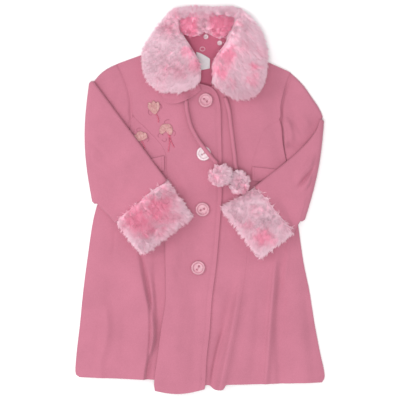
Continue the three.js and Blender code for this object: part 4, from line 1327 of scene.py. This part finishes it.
# The middle of a noise's colour, taken off to let it swing both ways
NOISE_MIDDLE = (0.5, 0.5, 0.5)


def spot_amount(tree, place):
    """How much of the deeper pink a place has: the strongest patch there, with an uneven edge."""
    warp = add_node(tree, "ShaderNodeTexNoise", [("Vector", place), ("Scale", 75.0), ("Detail", 2.0)])
    centred = vector_maths(tree, "SUBTRACT", warp.outputs["Color"], NOISE_MIDDLE)
    moved = vector_maths(tree, "MULTIPLY_ADD", centred, (SPOT_WARP,) * 3, place)
    level = vector_maths(tree, "MULTIPLY", moved, (1, 1, 0))
    strongest = None
    for x, y, radius, strength in FUR_SPOTS:
        away = vector_maths(tree, "DISTANCE", level, (x * MM, y * MM, 0))
        amount = map_range(tree, away, radius * SPOT_FULL * MM, radius * SPOT_END * MM, strength, 0.0,
                           interpolation="SMOOTHSTEP")
        strongest = amount if strongest is None else maths(tree, "MAXIMUM", amount, strongest)
    return strongest


# What all pile shares, in metres; how unevenly strands lean; and the range of their lengths,
# strand by strand and tuft by tuft
PILE = {"Thickness": 0.0009, "Clump Size": 0.0065, "Sway": 1.6, "Patch Size": 0.034}
LEAN_JITTER = (0.36, 0.36, 0.25)
COMB_LIFT = 0.1
STRAND_RANGE = (0.72, 1.12)
TUFT_RANGE = (0.88, 1.2)


def end_tree(tree, instances, rounded, finish, leave):
    """Makes the instances real, shades them and gives them their material."""
    real = add_node(tree, "GeometryNodeRealizeInstances", [(0, instances.outputs[0])])
    shaded = add_node(tree, "GeometryNodeSetShadeSmooth", [(0, real.outputs[0]), ("Shade Smooth", rounded)])
    dressed = add_node(tree, "GeometryNodeSetMaterial", [(0, shaded.outputs[0]), ("Material", finish)])
    tree.links.new(dressed.outputs[0], leave.inputs[0])
    return tree


def pile_tree():
    """Short tapered strands over a skin, leaning together in small clumps."""
    tree = bpy.data.node_groups.new("fur_pile", "GeometryNodeTree")
    entry, leave = add_inputs(tree, [
        ("Density", "float"), ("Length", "float"), ("Thickness", "float"), ("Clump Size", "float"),
        ("Clump Pull", "float"), ("Comb X", "float"), ("Comb Y", "float"), ("Stand", "float"),
        ("Sway", "float"), ("Patch Size", "float"), ("Seed", "int"), ("Pile", "material"),
    ])
    into = entry.outputs
    grows = add_node(tree, "GeometryNodeInputNamedAttribute", [("Name", "grows")], data_type="FLOAT")
    scatter = add_node(tree, "GeometryNodeDistributePointsOnFaces", [
        ("Mesh", into["Geometry"]), ("Seed", into["Seed"]),
        ("Density", maths(tree, "MULTIPLY", into["Density"], grows.outputs[0]))])
    place = tree.nodes.new("GeometryNodeInputPosition").outputs[0]
    cells = add_node(tree, "ShaderNodeTexVoronoi", [
        ("Vector", place), ("Scale", maths(tree, "DIVIDE", 1.0, into["Clump Size"]))])
    towards = vector_maths(tree, "SUBTRACT", cells.outputs["Position"], place)
    lean = scaled(tree, towards, maths(tree, "DIVIDE", into["Clump Pull"], into["Length"]))
    swirl = add_node(tree, "ShaderNodeTexNoise", [
        ("Vector", place), ("Scale", maths(tree, "DIVIDE", 1.0, into["Patch Size"])), ("Detail", 1.0)])
    centred = vector_maths(tree, "SUBTRACT", swirl.outputs["Color"], NOISE_MIDDLE)
    comb = add_node(tree, "ShaderNodeCombineXYZ", [
        ("X", into["Comb X"]), ("Y", into["Comb Y"]), ("Z", COMB_LIFT)])
    jitter = add_node(tree, "FunctionNodeRandomValue", [
        (0, tuple(-most for most in LEAN_JITTER)), (1, LEAN_JITTER), ("Seed", into["Seed"])],
        data_type="FLOAT_VECTOR")
    heading = scaled(tree, scatter.outputs["Normal"], into["Stand"])
    for part in (lean, scaled(tree, centred, into["Sway"]), comb.outputs[0], jitter.outputs[0]):
        heading = vector_maths(tree, "ADD", heading, part)
    turn = add_node(tree, "FunctionNodeAlignRotationToVector", [("Vector", heading)], axis="Z")
    strand = add_node(tree, "GeometryNodeMeshCone", [
        ("Vertices", 3), ("Radius Top", 0.0), ("Depth", into["Length"]),
        ("Radius Bottom", maths(tree, "MULTIPLY", into["Thickness"], 0.5))])
    height = add_node(tree, "ShaderNodeSeparateXYZ", [(0, place)]).outputs["Z"]
    marked = add_node(tree, "GeometryNodeStoreNamedAttribute", [
        ("Geometry", strand.outputs["Mesh"]), ("Name", "pile"),
        ("Value", maths(tree, "DIVIDE", height, into["Length"]))], data_type="FLOAT", domain="POINT")
    drift = map_range(tree, swirl.outputs[0], 0.3, 0.7, -0.1, 0.16)
    toned = add_node(tree, "GeometryNodeStoreNamedAttribute", [
        ("Geometry", scatter.outputs["Points"]), ("Name", "tone"),
        ("Value", maths(tree, "ADD", spot_amount(tree, place), drift))], data_type="FLOAT", domain="POINT")
    size = add_node(tree, "FunctionNodeRandomValue", [
        (2, STRAND_RANGE[0]), (3, STRAND_RANGE[1]), ("Seed", into["Seed"])]).outputs[1]
    chance = add_node(tree, "ShaderNodeSeparateXYZ", [(0, cells.outputs["Color"])]).outputs["X"]
    tall = maths(tree, "MULTIPLY", size, map_range(tree, chance, 0.0, 1.0, *TUFT_RANGE))
    stretch = add_node(tree, "ShaderNodeCombineXYZ", [("X", 1.0), ("Y", 1.0), ("Z", tall)])
    strands = add_node(tree, "GeometryNodeInstanceOnPoints", [
        ("Points", toned.outputs[0]), ("Instance", marked.outputs[0]), ("Rotation", turn.outputs[0]),
        ("Scale", stretch.outputs[0])])
    return end_tree(tree, strands, False, into["Pile"], leave)


def row_tree(name, beads):
    """Small sewn stitches set end to end along a line, or beads threaded on it."""
    tree = bpy.data.node_groups.new(name, "GeometryNodeTree")
    entry, leave = add_inputs(tree, [("Step", "float"), ("Size", "float"), ("Thickness", "float"),
                                     ("Finish", "material")])
    into = entry.outputs
    line = add_node(tree, "GeometryNodeMeshToCurve", [(0, into["Geometry"])])
    points = add_node(tree, "GeometryNodeCurveToPoints", [(0, line.outputs[0]), ("Length", into["Step"])],
                      mode="LENGTH")
    radius = maths(tree, "MULTIPLY", into["Thickness"], 0.5)
    if beads:
        shape = add_node(tree, "GeometryNodeMeshIcoSphere", [("Radius", radius), ("Subdivisions", 2)])
    else:
        shape = add_node(tree, "GeometryNodeMeshCylinder", [
            ("Vertices", 6), ("Radius", radius), ("Depth", into["Size"])])
    aimed = add_node(tree, "FunctionNodeAlignRotationToVector", [("Vector", points.outputs["Tangent"])],
                     axis="Z")
    row = add_node(tree, "GeometryNodeInstanceOnPoints", [
        ("Points", points.outputs[0]), ("Instance", shape.outputs[0]), ("Rotation", aimed.outputs[0])])
    return end_tree(tree, row, True, into["Finish"], leave)


def row_along(name, lines, tree, values):
    """The stitches or beads along some lines of points in millimetres, as one piece."""
    points = np.vstack(lines) * MM
    edges = []
    first = 0
    for line in lines:
        edges += [(first + place, first + place + 1) for place in range(len(line) - 1)]
        first += len(line)
    mesh = bpy.data.meshes.new(name + "_line")
    mesh.from_pydata(points.tolist(), edges, [])
    source = bpy.data.objects.new(name + "_line", mesh)
    bpy.context.collection.objects.link(source)
    piece = run_tree(source, tree, values, name)
    bpy.data.objects.remove(source)
    return piece


# Materials
def place_output(tree):
    return tree.nodes.new("ShaderNodeTexCoord").outputs["Object"]


def noise(tree, scale, detail, distortion=0.0):
    return add_node(tree, "ShaderNodeTexNoise", [
        ("Vector", place_output(tree)), ("Scale", scale), ("Detail", detail),
        ("Distortion", distortion)])


def ramp(tree, factor, stops):
    node = tree.nodes.new("ShaderNodeValToRGB")
    tree.links.new(factor, node.inputs[0])
    elements = node.color_ramp.elements
    while len(elements) < len(stops):
        elements.new(0.5)
    for element, (position, colour) in zip(elements, stops):
        element.position = position
        element.color = (*colour, 1)
    return node.outputs[0]


def mixed(tree, factor, first, second, blend="MIX"):
    node = tree.nodes.new("ShaderNodeMix")
    node.data_type = "RGBA"
    node.blend_type = blend
    for socket, value in ((node.inputs[0], factor), (node.inputs[6], first), (node.inputs[7], second)):
        if isinstance(value, bpy.types.NodeSocket):
            tree.links.new(value, socket)
        else:
            socket.default_value = value if isinstance(value, float) else (*value, 1)
    return node.outputs[2]


def bumped(tree, shader, height, strength, distance):
    bump = add_node(tree, "ShaderNodeBump", [("Height", height), ("Strength", strength),
                                             ("Distance", distance)])
    tree.links.new(bump.outputs[0], shader.inputs["Normal"])


WOOL_FLECK = 0.05


def wool_material(name, colour):
    """Felted wool: a matt face with short flattened fibres, small pills and a soft sheen."""
    material, tree, shader = new_material(name, {
        "Roughness": 0.92, "Specular IOR Level": 0.2, "Sheen Weight": 0.22, "Sheen Roughness": 0.5,
        "Sheen Tint": (1.0, 0.82, 0.88, 1)})
    colour = np.array(colour)
    cloudy = noise(tree, 22.0, 4.0)
    fibres = noise(tree, 900.0, 5.0, 1.4)
    pills = noise(tree, 260.0, 2.0)
    tone = ramp(tree, cloudy.outputs[0], [
        (0.3, colour * (1 - WOOL_FLECK)), (0.7, colour * (1 + WOOL_FLECK))])
    speck = ramp(tree, fibres.outputs[0], [(0.32, (0.92, 0.9, 0.91)), (0.68, (1.05, 1.07, 1.07))])
    tree.links.new(mixed(tree, 1.0, tone, speck, "MULTIPLY"), shader.inputs["Base Color"])
    height = maths(tree, "ADD", fibres.outputs[0], pills.outputs[0])
    bumped(tree, shader, height, 0.3, 0.0006)
    return material


# The fur's pinks, and its ramp from the pale tips to the deeper patches
FUR_DEEP = (0.97, 0.41, 0.57)
FUR_LIGHT = (0.95, 0.61, 0.72)
FUR_TIP = (0.94, 0.69, 0.78)
FUR_INNER = (0.97, 0.37, 0.54)
FUR_STOPS = [(0.0, FUR_TIP), (0.3, FUR_LIGHT), (0.8, FUR_DEEP)]

# Where the inside of the collar shows its deeper pink: places along X, from nought to one
INNER_PATCHES = [(0.0, 0.0), (0.28, 0.02), (0.36, 0.75), (0.52, 0.8), (0.62, 0.05), (1.0, 0.0)]
INNER_START = -0.03
INNER_WIDTH = 0.08
INNER_SWAY = 0.02


def pile_material(name, patches=None):
    """Strands, paler to their tips and deeper pink in patches, and darker toward their roots: painted shade
    among the strands.
    """
    material, tree, shader = new_material(name, {
        "Roughness": 0.75, "Specular IOR Level": 0.25, "Subsurface Weight": 0.3,
        "Subsurface Radius": (1.0, 0.6, 0.7), "Subsurface Scale": 0.003})
    pile = add_node(tree, "ShaderNodeAttribute", attribute_name="pile").outputs["Fac"]
    tone = add_node(tree, "ShaderNodeAttribute", attribute_name="tone").outputs["Fac"]
    upper = ramp(tree, tone, FUR_STOPS)
    # The colour at the roots, deeper than at the tips: painted shade down in the pile
    lower = ramp(tree, tone, [(0.0, FUR_LIGHT), (0.5, FUR_DEEP)])
    share = ramp(tree, pile, [(0.0, (0, 0, 0)), (0.55, (1, 1, 1))])
    colour = mixed(tree, share, lower, upper)
    if patches:
        place = add_node(tree, "ShaderNodeSeparateXYZ", [(0, place_output(tree))])
        sway = maths(tree, "MULTIPLY_ADD", tone, INNER_SWAY, place.outputs["X"])
        share = map_range(tree, sway, INNER_START, INNER_START + INNER_WIDTH)
        pale = ramp(tree, share, [(at, (amount,) * 3) for at, amount in patches])
        colour = mixed(tree, pale, FUR_INNER, colour)
    tree.links.new(colour, shader.inputs["Base Color"])
    return material


def skin_material():
    """The skin between the strands, in the same patches of pink."""
    material, tree, shader = new_material("fur_skin_pink", {"Roughness": 0.95})
    tufts = add_node(tree, "ShaderNodeTexVoronoi", [("Vector", place_output(tree)), ("Scale", 260.0)])
    patches = spot_amount(tree, place_output(tree))
    tree.links.new(ramp(tree, patches, FUR_STOPS), shader.inputs["Base Color"])
    bumped(tree, shader, tufts.outputs["Distance"], 0.6, 0.002)
    return material


def button_material(name, colour, swirl):
    """Moulded pearly plastic with a slow swirl in its colour."""
    material, tree, shader = new_material(name, {
        "Roughness": 0.38, "Coat Weight": 0.3, "Coat Roughness": 0.3})
    colour = np.array(colour)
    bands = noise(tree, 95.0, 2.0, 2.2)
    shade = ramp(tree, bands.outputs[0], [
        (0.35, colour * (1 - swirl)), (0.5, colour), (0.66, np.minimum(colour * (1 + swirl), 1))])
    tree.links.new(shade, shader.inputs["Base Color"])
    bumped(tree, shader, bands.outputs[0], 0.08, 0.0005)
    return material


def thread_material(name, colour):
    material, tree, shader = new_material(name, {"Roughness": 0.6, "Sheen Weight": 0.3})
    twist = add_node(tree, "ShaderNodeTexWave", [("Vector", place_output(tree)), ("Scale", 700.0)])
    # Darker in the grooves of the twist, over the same bumps: painted shade
    shade = ramp(tree, twist.outputs[1], [(0.1, np.array(colour) * 0.75), (0.9, np.array(colour))])
    tree.links.new(shade, shader.inputs["Base Color"])
    bumped(tree, shader, twist.outputs[1], 0.3, 0.0002)
    return material


def petal_material():
    """Sheer peach cloth with fine weave and darker veins."""
    material, tree, shader = new_material("petal_peach", {"Roughness": 0.55, "Sheen Weight": 0.4})
    cloudy = noise(tree, 210.0, 3.0)
    weave = add_node(tree, "ShaderNodeTexWave", [
        ("Vector", place_output(tree)), ("Scale", 900.0), ("Distortion", 1.0)])
    shade = ramp(tree, cloudy.outputs[0], [
        (0.3, (0.43, 0.16, 0.18)), (0.5, (0.51, 0.24, 0.24)), (0.7, (0.56, 0.31, 0.30))])
    tree.links.new(shade, shader.inputs["Base Color"])
    bumped(tree, shader, weave.outputs[1], 0.25, 0.0003)
    return material


def label_material():
    """Plain ribbed tape, darker in the grooves between its ribs: painted shade."""
    material, tree, shader = new_material("label_tape", {"Roughness": 0.5})
    ribs = add_node(tree, "ShaderNodeTexWave", [
        ("Vector", place_output(tree)), ("Scale", 620.0), ("Distortion", 0.4)], bands_direction="Y")
    # Darker where the ribs dip, over the same bumps: painted shade in the grooves
    shade = ramp(tree, ribs.outputs[1], [(0.2, (0.62, 0.6, 0.62)), (0.8, (0.82, 0.81, 0.83))])
    tree.links.new(shade, shader.inputs["Base Color"])
    bumped(tree, shader, ribs.outputs[1], 0.4, 0.0003)
    return material


WOOL = (0.475, 0.164, 0.230)
# A deeper pink copy of the wool for the back: painted shade for the inside seen in the neck opening
WOOL_PAINTED_SHADE = (0.50, 0.13, 0.205)

wool = wool_material("wool_pink", WOOL)
wool_shaded = wool_material("wool_pink_painted_shade", WOOL_PAINTED_SHADE)
pile_pink = pile_material("fur_pile_pink")
pile_inner = pile_material("fur_pile_inner", INNER_PATCHES)
skin_pink = skin_material()
button_pink = button_material("button_pink", (0.50, 0.21, 0.27), 0.12)
button_pearl = button_material("button_pearl", (0.66, 0.52, 0.56), 0.16)
THREADS = {
    "pink": (0.62, 0.26, 0.34), "pale": (0.82, 0.42, 0.52), "red": (0.36, 0.07, 0.13),
    "wool": (0.44, 0.13, 0.19), "peach": (0.55, 0.27, 0.25),
}
threads = {name: thread_material(f"thread_{name}", colour) for name, colour in THREADS.items()}
petal = petal_material()
bead = button_material("bead_rose", (0.60, 0.12, 0.20), 0.2)
label_tape = label_material()


def finish_piece(piece, material, slot, *nodes):
    """Gives a piece its material, where one is given, and its body, and hides the nodes it replaces. The
    slot is not used.
    """
    if material is not None:
        piece.data.materials.clear()
        piece.data.materials.append(material)
    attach(piece, "root")
    if nodes:
        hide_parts(*nodes)
    return piece


# Fronts, back and sleeves
for name, (grid, piece) in front_panels().items():
    finish_piece(piece, wool, "wool", name)

back = back_grid()
# The back wears the shaded copy of the wool: painted shade inside the neck
back_piece = finish_piece(cloth_shell("back_cloth", back, BACK_THICKNESS, BACK_ROUND, underside=0.0),
                          wool_shaded, "wool", "back")

for name, data in SLEEVES.items():
    grid, piece = sleeve(name, data)
    finish_piece(piece, wool, "wool", f"sleeve_{name}")

# Fur: skin, length of its pile, strands, comb along X and Y, pull of the clumps and how upright the
# strands stand
pile = pile_tree()
FUR_PIECES = {
    "collar_fur_right": (wing("right"), 0.0080, 17000, -0.75, -0.9, 0.85, 0.6),
    "collar_fur_left": (wing("left"), 0.0080, 17000, 0.65, -1.0, 0.85, 0.6),
    "collar_fur_back": (collar_back(), 0.0060, 8000, 0.2, 0.6, 0.8, 0.6),
    "collar_roll": (collar_roll(), 0.0060, 8000, 0.2, 0.6, 0.7, 0.6),
    "cuff_right": (cuff("right", SLEEVES["right"]), 0.0080, 14000, 0.5, -0.7, 0.85, 0.6),
    "cuff_left": (cuff("left", SLEEVES["left"]), 0.0080, 14000, -0.5, -0.7, 0.85, 0.6),
    "pompom_right": (pompom_skin("right"), 0.0072, 5500, 0.35, -0.25, 0.95, 0.5),
    "pompom_left": (pompom_skin("left"), 0.0072, 5500, -0.45, 0.0, 0.95, 0.5),
}
FIRST_SEED = 11
ALL_STRANDS = 1.5


def furred_area(skin):
    """The area of the faces that the pile grows on."""
    grows = [point.value > 0.5 for point in skin.data.attributes["grows"].data]
    return sum(face.area for face in skin.data.polygons if all(grows[corner] for corner in face.vertices))


strand_share = ALL_STRANDS
for seed, (name, row) in enumerate(FUR_PIECES.items(), start=FIRST_SEED):
    skin, length, strands, comb_x, comb_y, clumping, stand = row
    values = {
        **PILE, "Density": strands * strand_share / furred_area(skin), "Length": length,
        "Clump Pull": clumping, "Comb X": comb_x, "Comb Y": comb_y, "Stand": stand, "Seed": seed,
        "Pile": pile_inner if name == "collar_fur_back" else pile_pink,
    }
    fur = run_tree(skin, pile, values, f"{name}_pile")
    node = "collar_fur_back" if name == "collar_roll" else name
    finish_piece(fur, None, "fur", node)
    finish_piece(skin, skin_pink, "fur", node)

# Cloth collar and pocket flaps, with their edges' stitches
stitches = row_tree("stitches", False)
beads = row_tree("threaded_beads", True)
SEWN = {"Step": STITCH["length"] * STITCH["step"] * MM, "Size": STITCH["length"] * MM,
        "Thickness": STITCH["thread"] * MM, "Finish": threads["wool"]}
edge_sewing = []
for name in CLOTH_COLLARS:
    grid, piece = cloth_collar(name)
    finish_piece(piece, wool, "wool", f"collar_cloth_{name}")
    edge_sewing.append(grid[1:-1, -COLLAR_STITCH_IN])
for name, pocket in POCKETS.items():
    grid, piece = pocket_flap(name, pocket)
    finish_piece(piece, wool, "wool", f"pocket_flap_{name}")
    edge_sewing.append(edge_line(grid, FLAP_STITCH_IN))
line = front_stitch_line()[FRONT_STITCHED]
edge_sewing.append(np.column_stack([line, right_centre_cloth(line[:, 0], line[:, 1])]))
finish_piece(row_along("edge_stitches", edge_sewing, stitches, SEWN), None, "wool")

# Ties; their pompoms were grown with the fur above
for name in TIES:
    route = tie_route(name)
    piece = finish_piece(tie_tube(name, route), wool, "wool", f"tie_{name}")
    length = float(distances(route)[-1] * MM)

# Buttons
for place, data in enumerate(BUTTONS, start=1):
    spot = lay_frame(data["x"], data["y"], BUTTON_DIAMETER / 2)
    name = f"button_{place}"
    look = button_pearl if place == PEARL_BUTTON else button_pink
    form = (BUTTON_DIAMETER, BUTTON_THICKNESS, spot, math.radians(data["turn"]))
    finish_piece(add_button(name + "_moulded", *form), look, "button", name)
    finish_piece(thread_bar(name + "_thread", *form), threads["pink"], "button")
for name, (x, y) in COLLAR_BUTTONS.items():
    spot = (np.array([x, y, BACK_THICKNESS + GAP]), *np.eye(3))
    form = (SMALL_BUTTON_DIAMETER, SMALL_BUTTON_THICKNESS, spot, SMALL_BUTTON_TURN)
    finish_piece(add_button(f"collar_button_{name}_moulded", *form), button_pearl, "button",
                 f"collar_button_{name}")
    finish_piece(thread_bar(f"collar_button_{name}_thread", *form), threads["red"], "button")

# Flowers, with what is sewn round them
PETAL_SEWN = dict(SEWN, Step=0.0016, Size=0.0012, Thickness=0.00035, Finish=threads["peach"])
CURL_SEWN = dict(SEWN, Step=0.0019, Size=0.0019, Thickness=0.0006, Finish=threads["red"])
FLOWER_SEED = 40
for place, data in enumerate(FLOWERS, start=1):
    piece, sewing = flower(f"flower_{place}_petals", data, FLOWER_SEED + place)
    finish_piece(piece, petal, "flower", f"flower_{place}")
    finish_piece(row_along(f"flower_{place}_stitches", sewing, stitches, PETAL_SEWN), None, "flower")
BEADS_THREADED = {"Step": BEAD_DIAMETER * BEAD_STEP * MM, "Size": BEAD_DIAMETER * MM,
                  "Thickness": BEAD_DIAMETER * MM, "Finish": bead}
stem_lines = [stem_line(data) for data in STEMS]
finish_piece(row_along("flower_stem_beads", stem_lines, beads, BEADS_THREADED), None, "flower")
curl_lines = [curl_line(data) for data in CURLS]
finish_piece(row_along("flower_curls", curl_lines, stitches, CURL_SEWN), None, "flower")


def label_tape_grid():
    """The blank tape in the neck; its upper right corner has slipped down and curls up."""
    across = np.linspace(0, 1, 24)[None, :]
    down = np.linspace(0, 1, 30)[:, None]
    top_y = NECK_LABEL["y"] + NECK_LABEL["height"] / 2 - LABEL_SLIP * across ** 1.5
    low_y = NECK_LABEL["y"] - NECK_LABEL["height"] / 2 + 3 * across ** 2
    x = NECK_LABEL["x"] + (across - 0.5) * NECK_LABEL["width"] + 0 * down
    y = lerp(top_y, low_y, down)
    curl = 2.6 * across ** 2 * (1 - down) + 0.5 * np.cos(3 * across + 5 * down) ** 2
    return np.dstack([x, y, BACK_THICKNESS + GAP + NECK_LABEL["thickness"] + curl])


def hang_loop():
    """A closed ring of round cord."""
    radius = HANG_LOOP["cord"] / 2
    section = full_turn(10)
    rings = []
    for turn in full_turn(48):
        centre = np.array([HANG_LOOP["x"] + (HANG_LOOP["length"] / 2 - radius) * math.cos(turn),
                           HANG_LOOP["y"] + (HANG_LOOP["width"] / 2 - radius) * math.sin(turn),
                           BACK_THICKNESS + GAP + radius])
        away = np.array([math.cos(turn), math.sin(turn), 0])
        rings.append(centre + radius * (np.cos(section)[:, None] * away
                                        + np.sin(section)[:, None] * np.array([0, 0, 1.0])))
    points = np.vstack(rings)
    faces = [tuple(corner % len(points) for corner in face)
             for face in grid_faces(len(rings) + 1, len(section), closed=True)]
    return add_mesh("hang_loop_cord", points, outward(points, faces))


# Inside the neck
label_grid = label_tape_grid()
label = finish_piece(cloth_shell("neck_label_tape", label_grid, TAPE_WALL, TAPE_ROUND), label_tape, "label",
                     "neck_label")
finish_piece(hang_loop(), threads["pale"], "label", "hang_loop")

# Floor, light and camera
FLOOR_HALF = 3.0
FLOOR_Z = -0.0005
WORLD_STRENGTH = 0.66
CAMERA_HEIGHT = 3.0
CAMERA_SENSOR = 36
PICTURE_WIDTH = 0.64

floor_mesh = bpy.data.meshes.new("floor")
floor_corners = [(x * FLOOR_HALF, y * FLOOR_HALF, FLOOR_Z) for x, y in ((-1, -1), (1, -1), (1, 1), (-1, 1))]
floor_mesh.from_pydata(floor_corners, [], [(0, 1, 2, 3)])
floor = bpy.data.objects.new("floor", floor_mesh)
bpy.context.collection.objects.link(floor)
floor_white, _, _ = new_material("floor_white", {"Base Color": (0.93, 0.93, 0.93, 1), "Roughness": 0.9})
floor_mesh.materials.append(floor_white)

world = bpy.data.worlds.new("studio")
world.use_nodes = True
background = world.node_tree.nodes["Background"]
background.inputs["Color"].default_value = (1.0, 1.0, 1.0, 1)
background.inputs["Strength"].default_value = WORLD_STRENGTH
bpy.context.scene.world = world
bpy.context.scene.view_settings.view_transform = "Standard"


def area_light(name, place, power, size):
    """A square lamp turned to the middle of the coat."""
    lamp = bpy.data.lights.new(name, "AREA")
    lamp.energy = power
    lamp.size = size
    holder = bpy.data.objects.new(name, lamp)
    bpy.context.collection.objects.link(holder)
    holder.location = place
    x, y, z = place
    holder.rotation_euler = (math.atan2(math.hypot(x, y), z), 0, math.atan2(-x, y) + math.pi)


area_light("key", place=(-0.15, -0.45, 2.7), power=44, size=1.3)
area_light("side", place=(-1.4, 0.3, 1.3), power=10, size=0.8)

camera_data = bpy.data.cameras.new("camera")
camera_data.sensor_width = CAMERA_SENSOR
camera_data.lens = CAMERA_SENSOR * CAMERA_HEIGHT / PICTURE_WIDTH
camera_data.clip_end = 20
camera = bpy.data.objects.new("camera", camera_data)
bpy.context.collection.objects.link(camera)
camera.location = (0, 0, CAMERA_HEIGHT)
bpy.context.scene.camera = camera
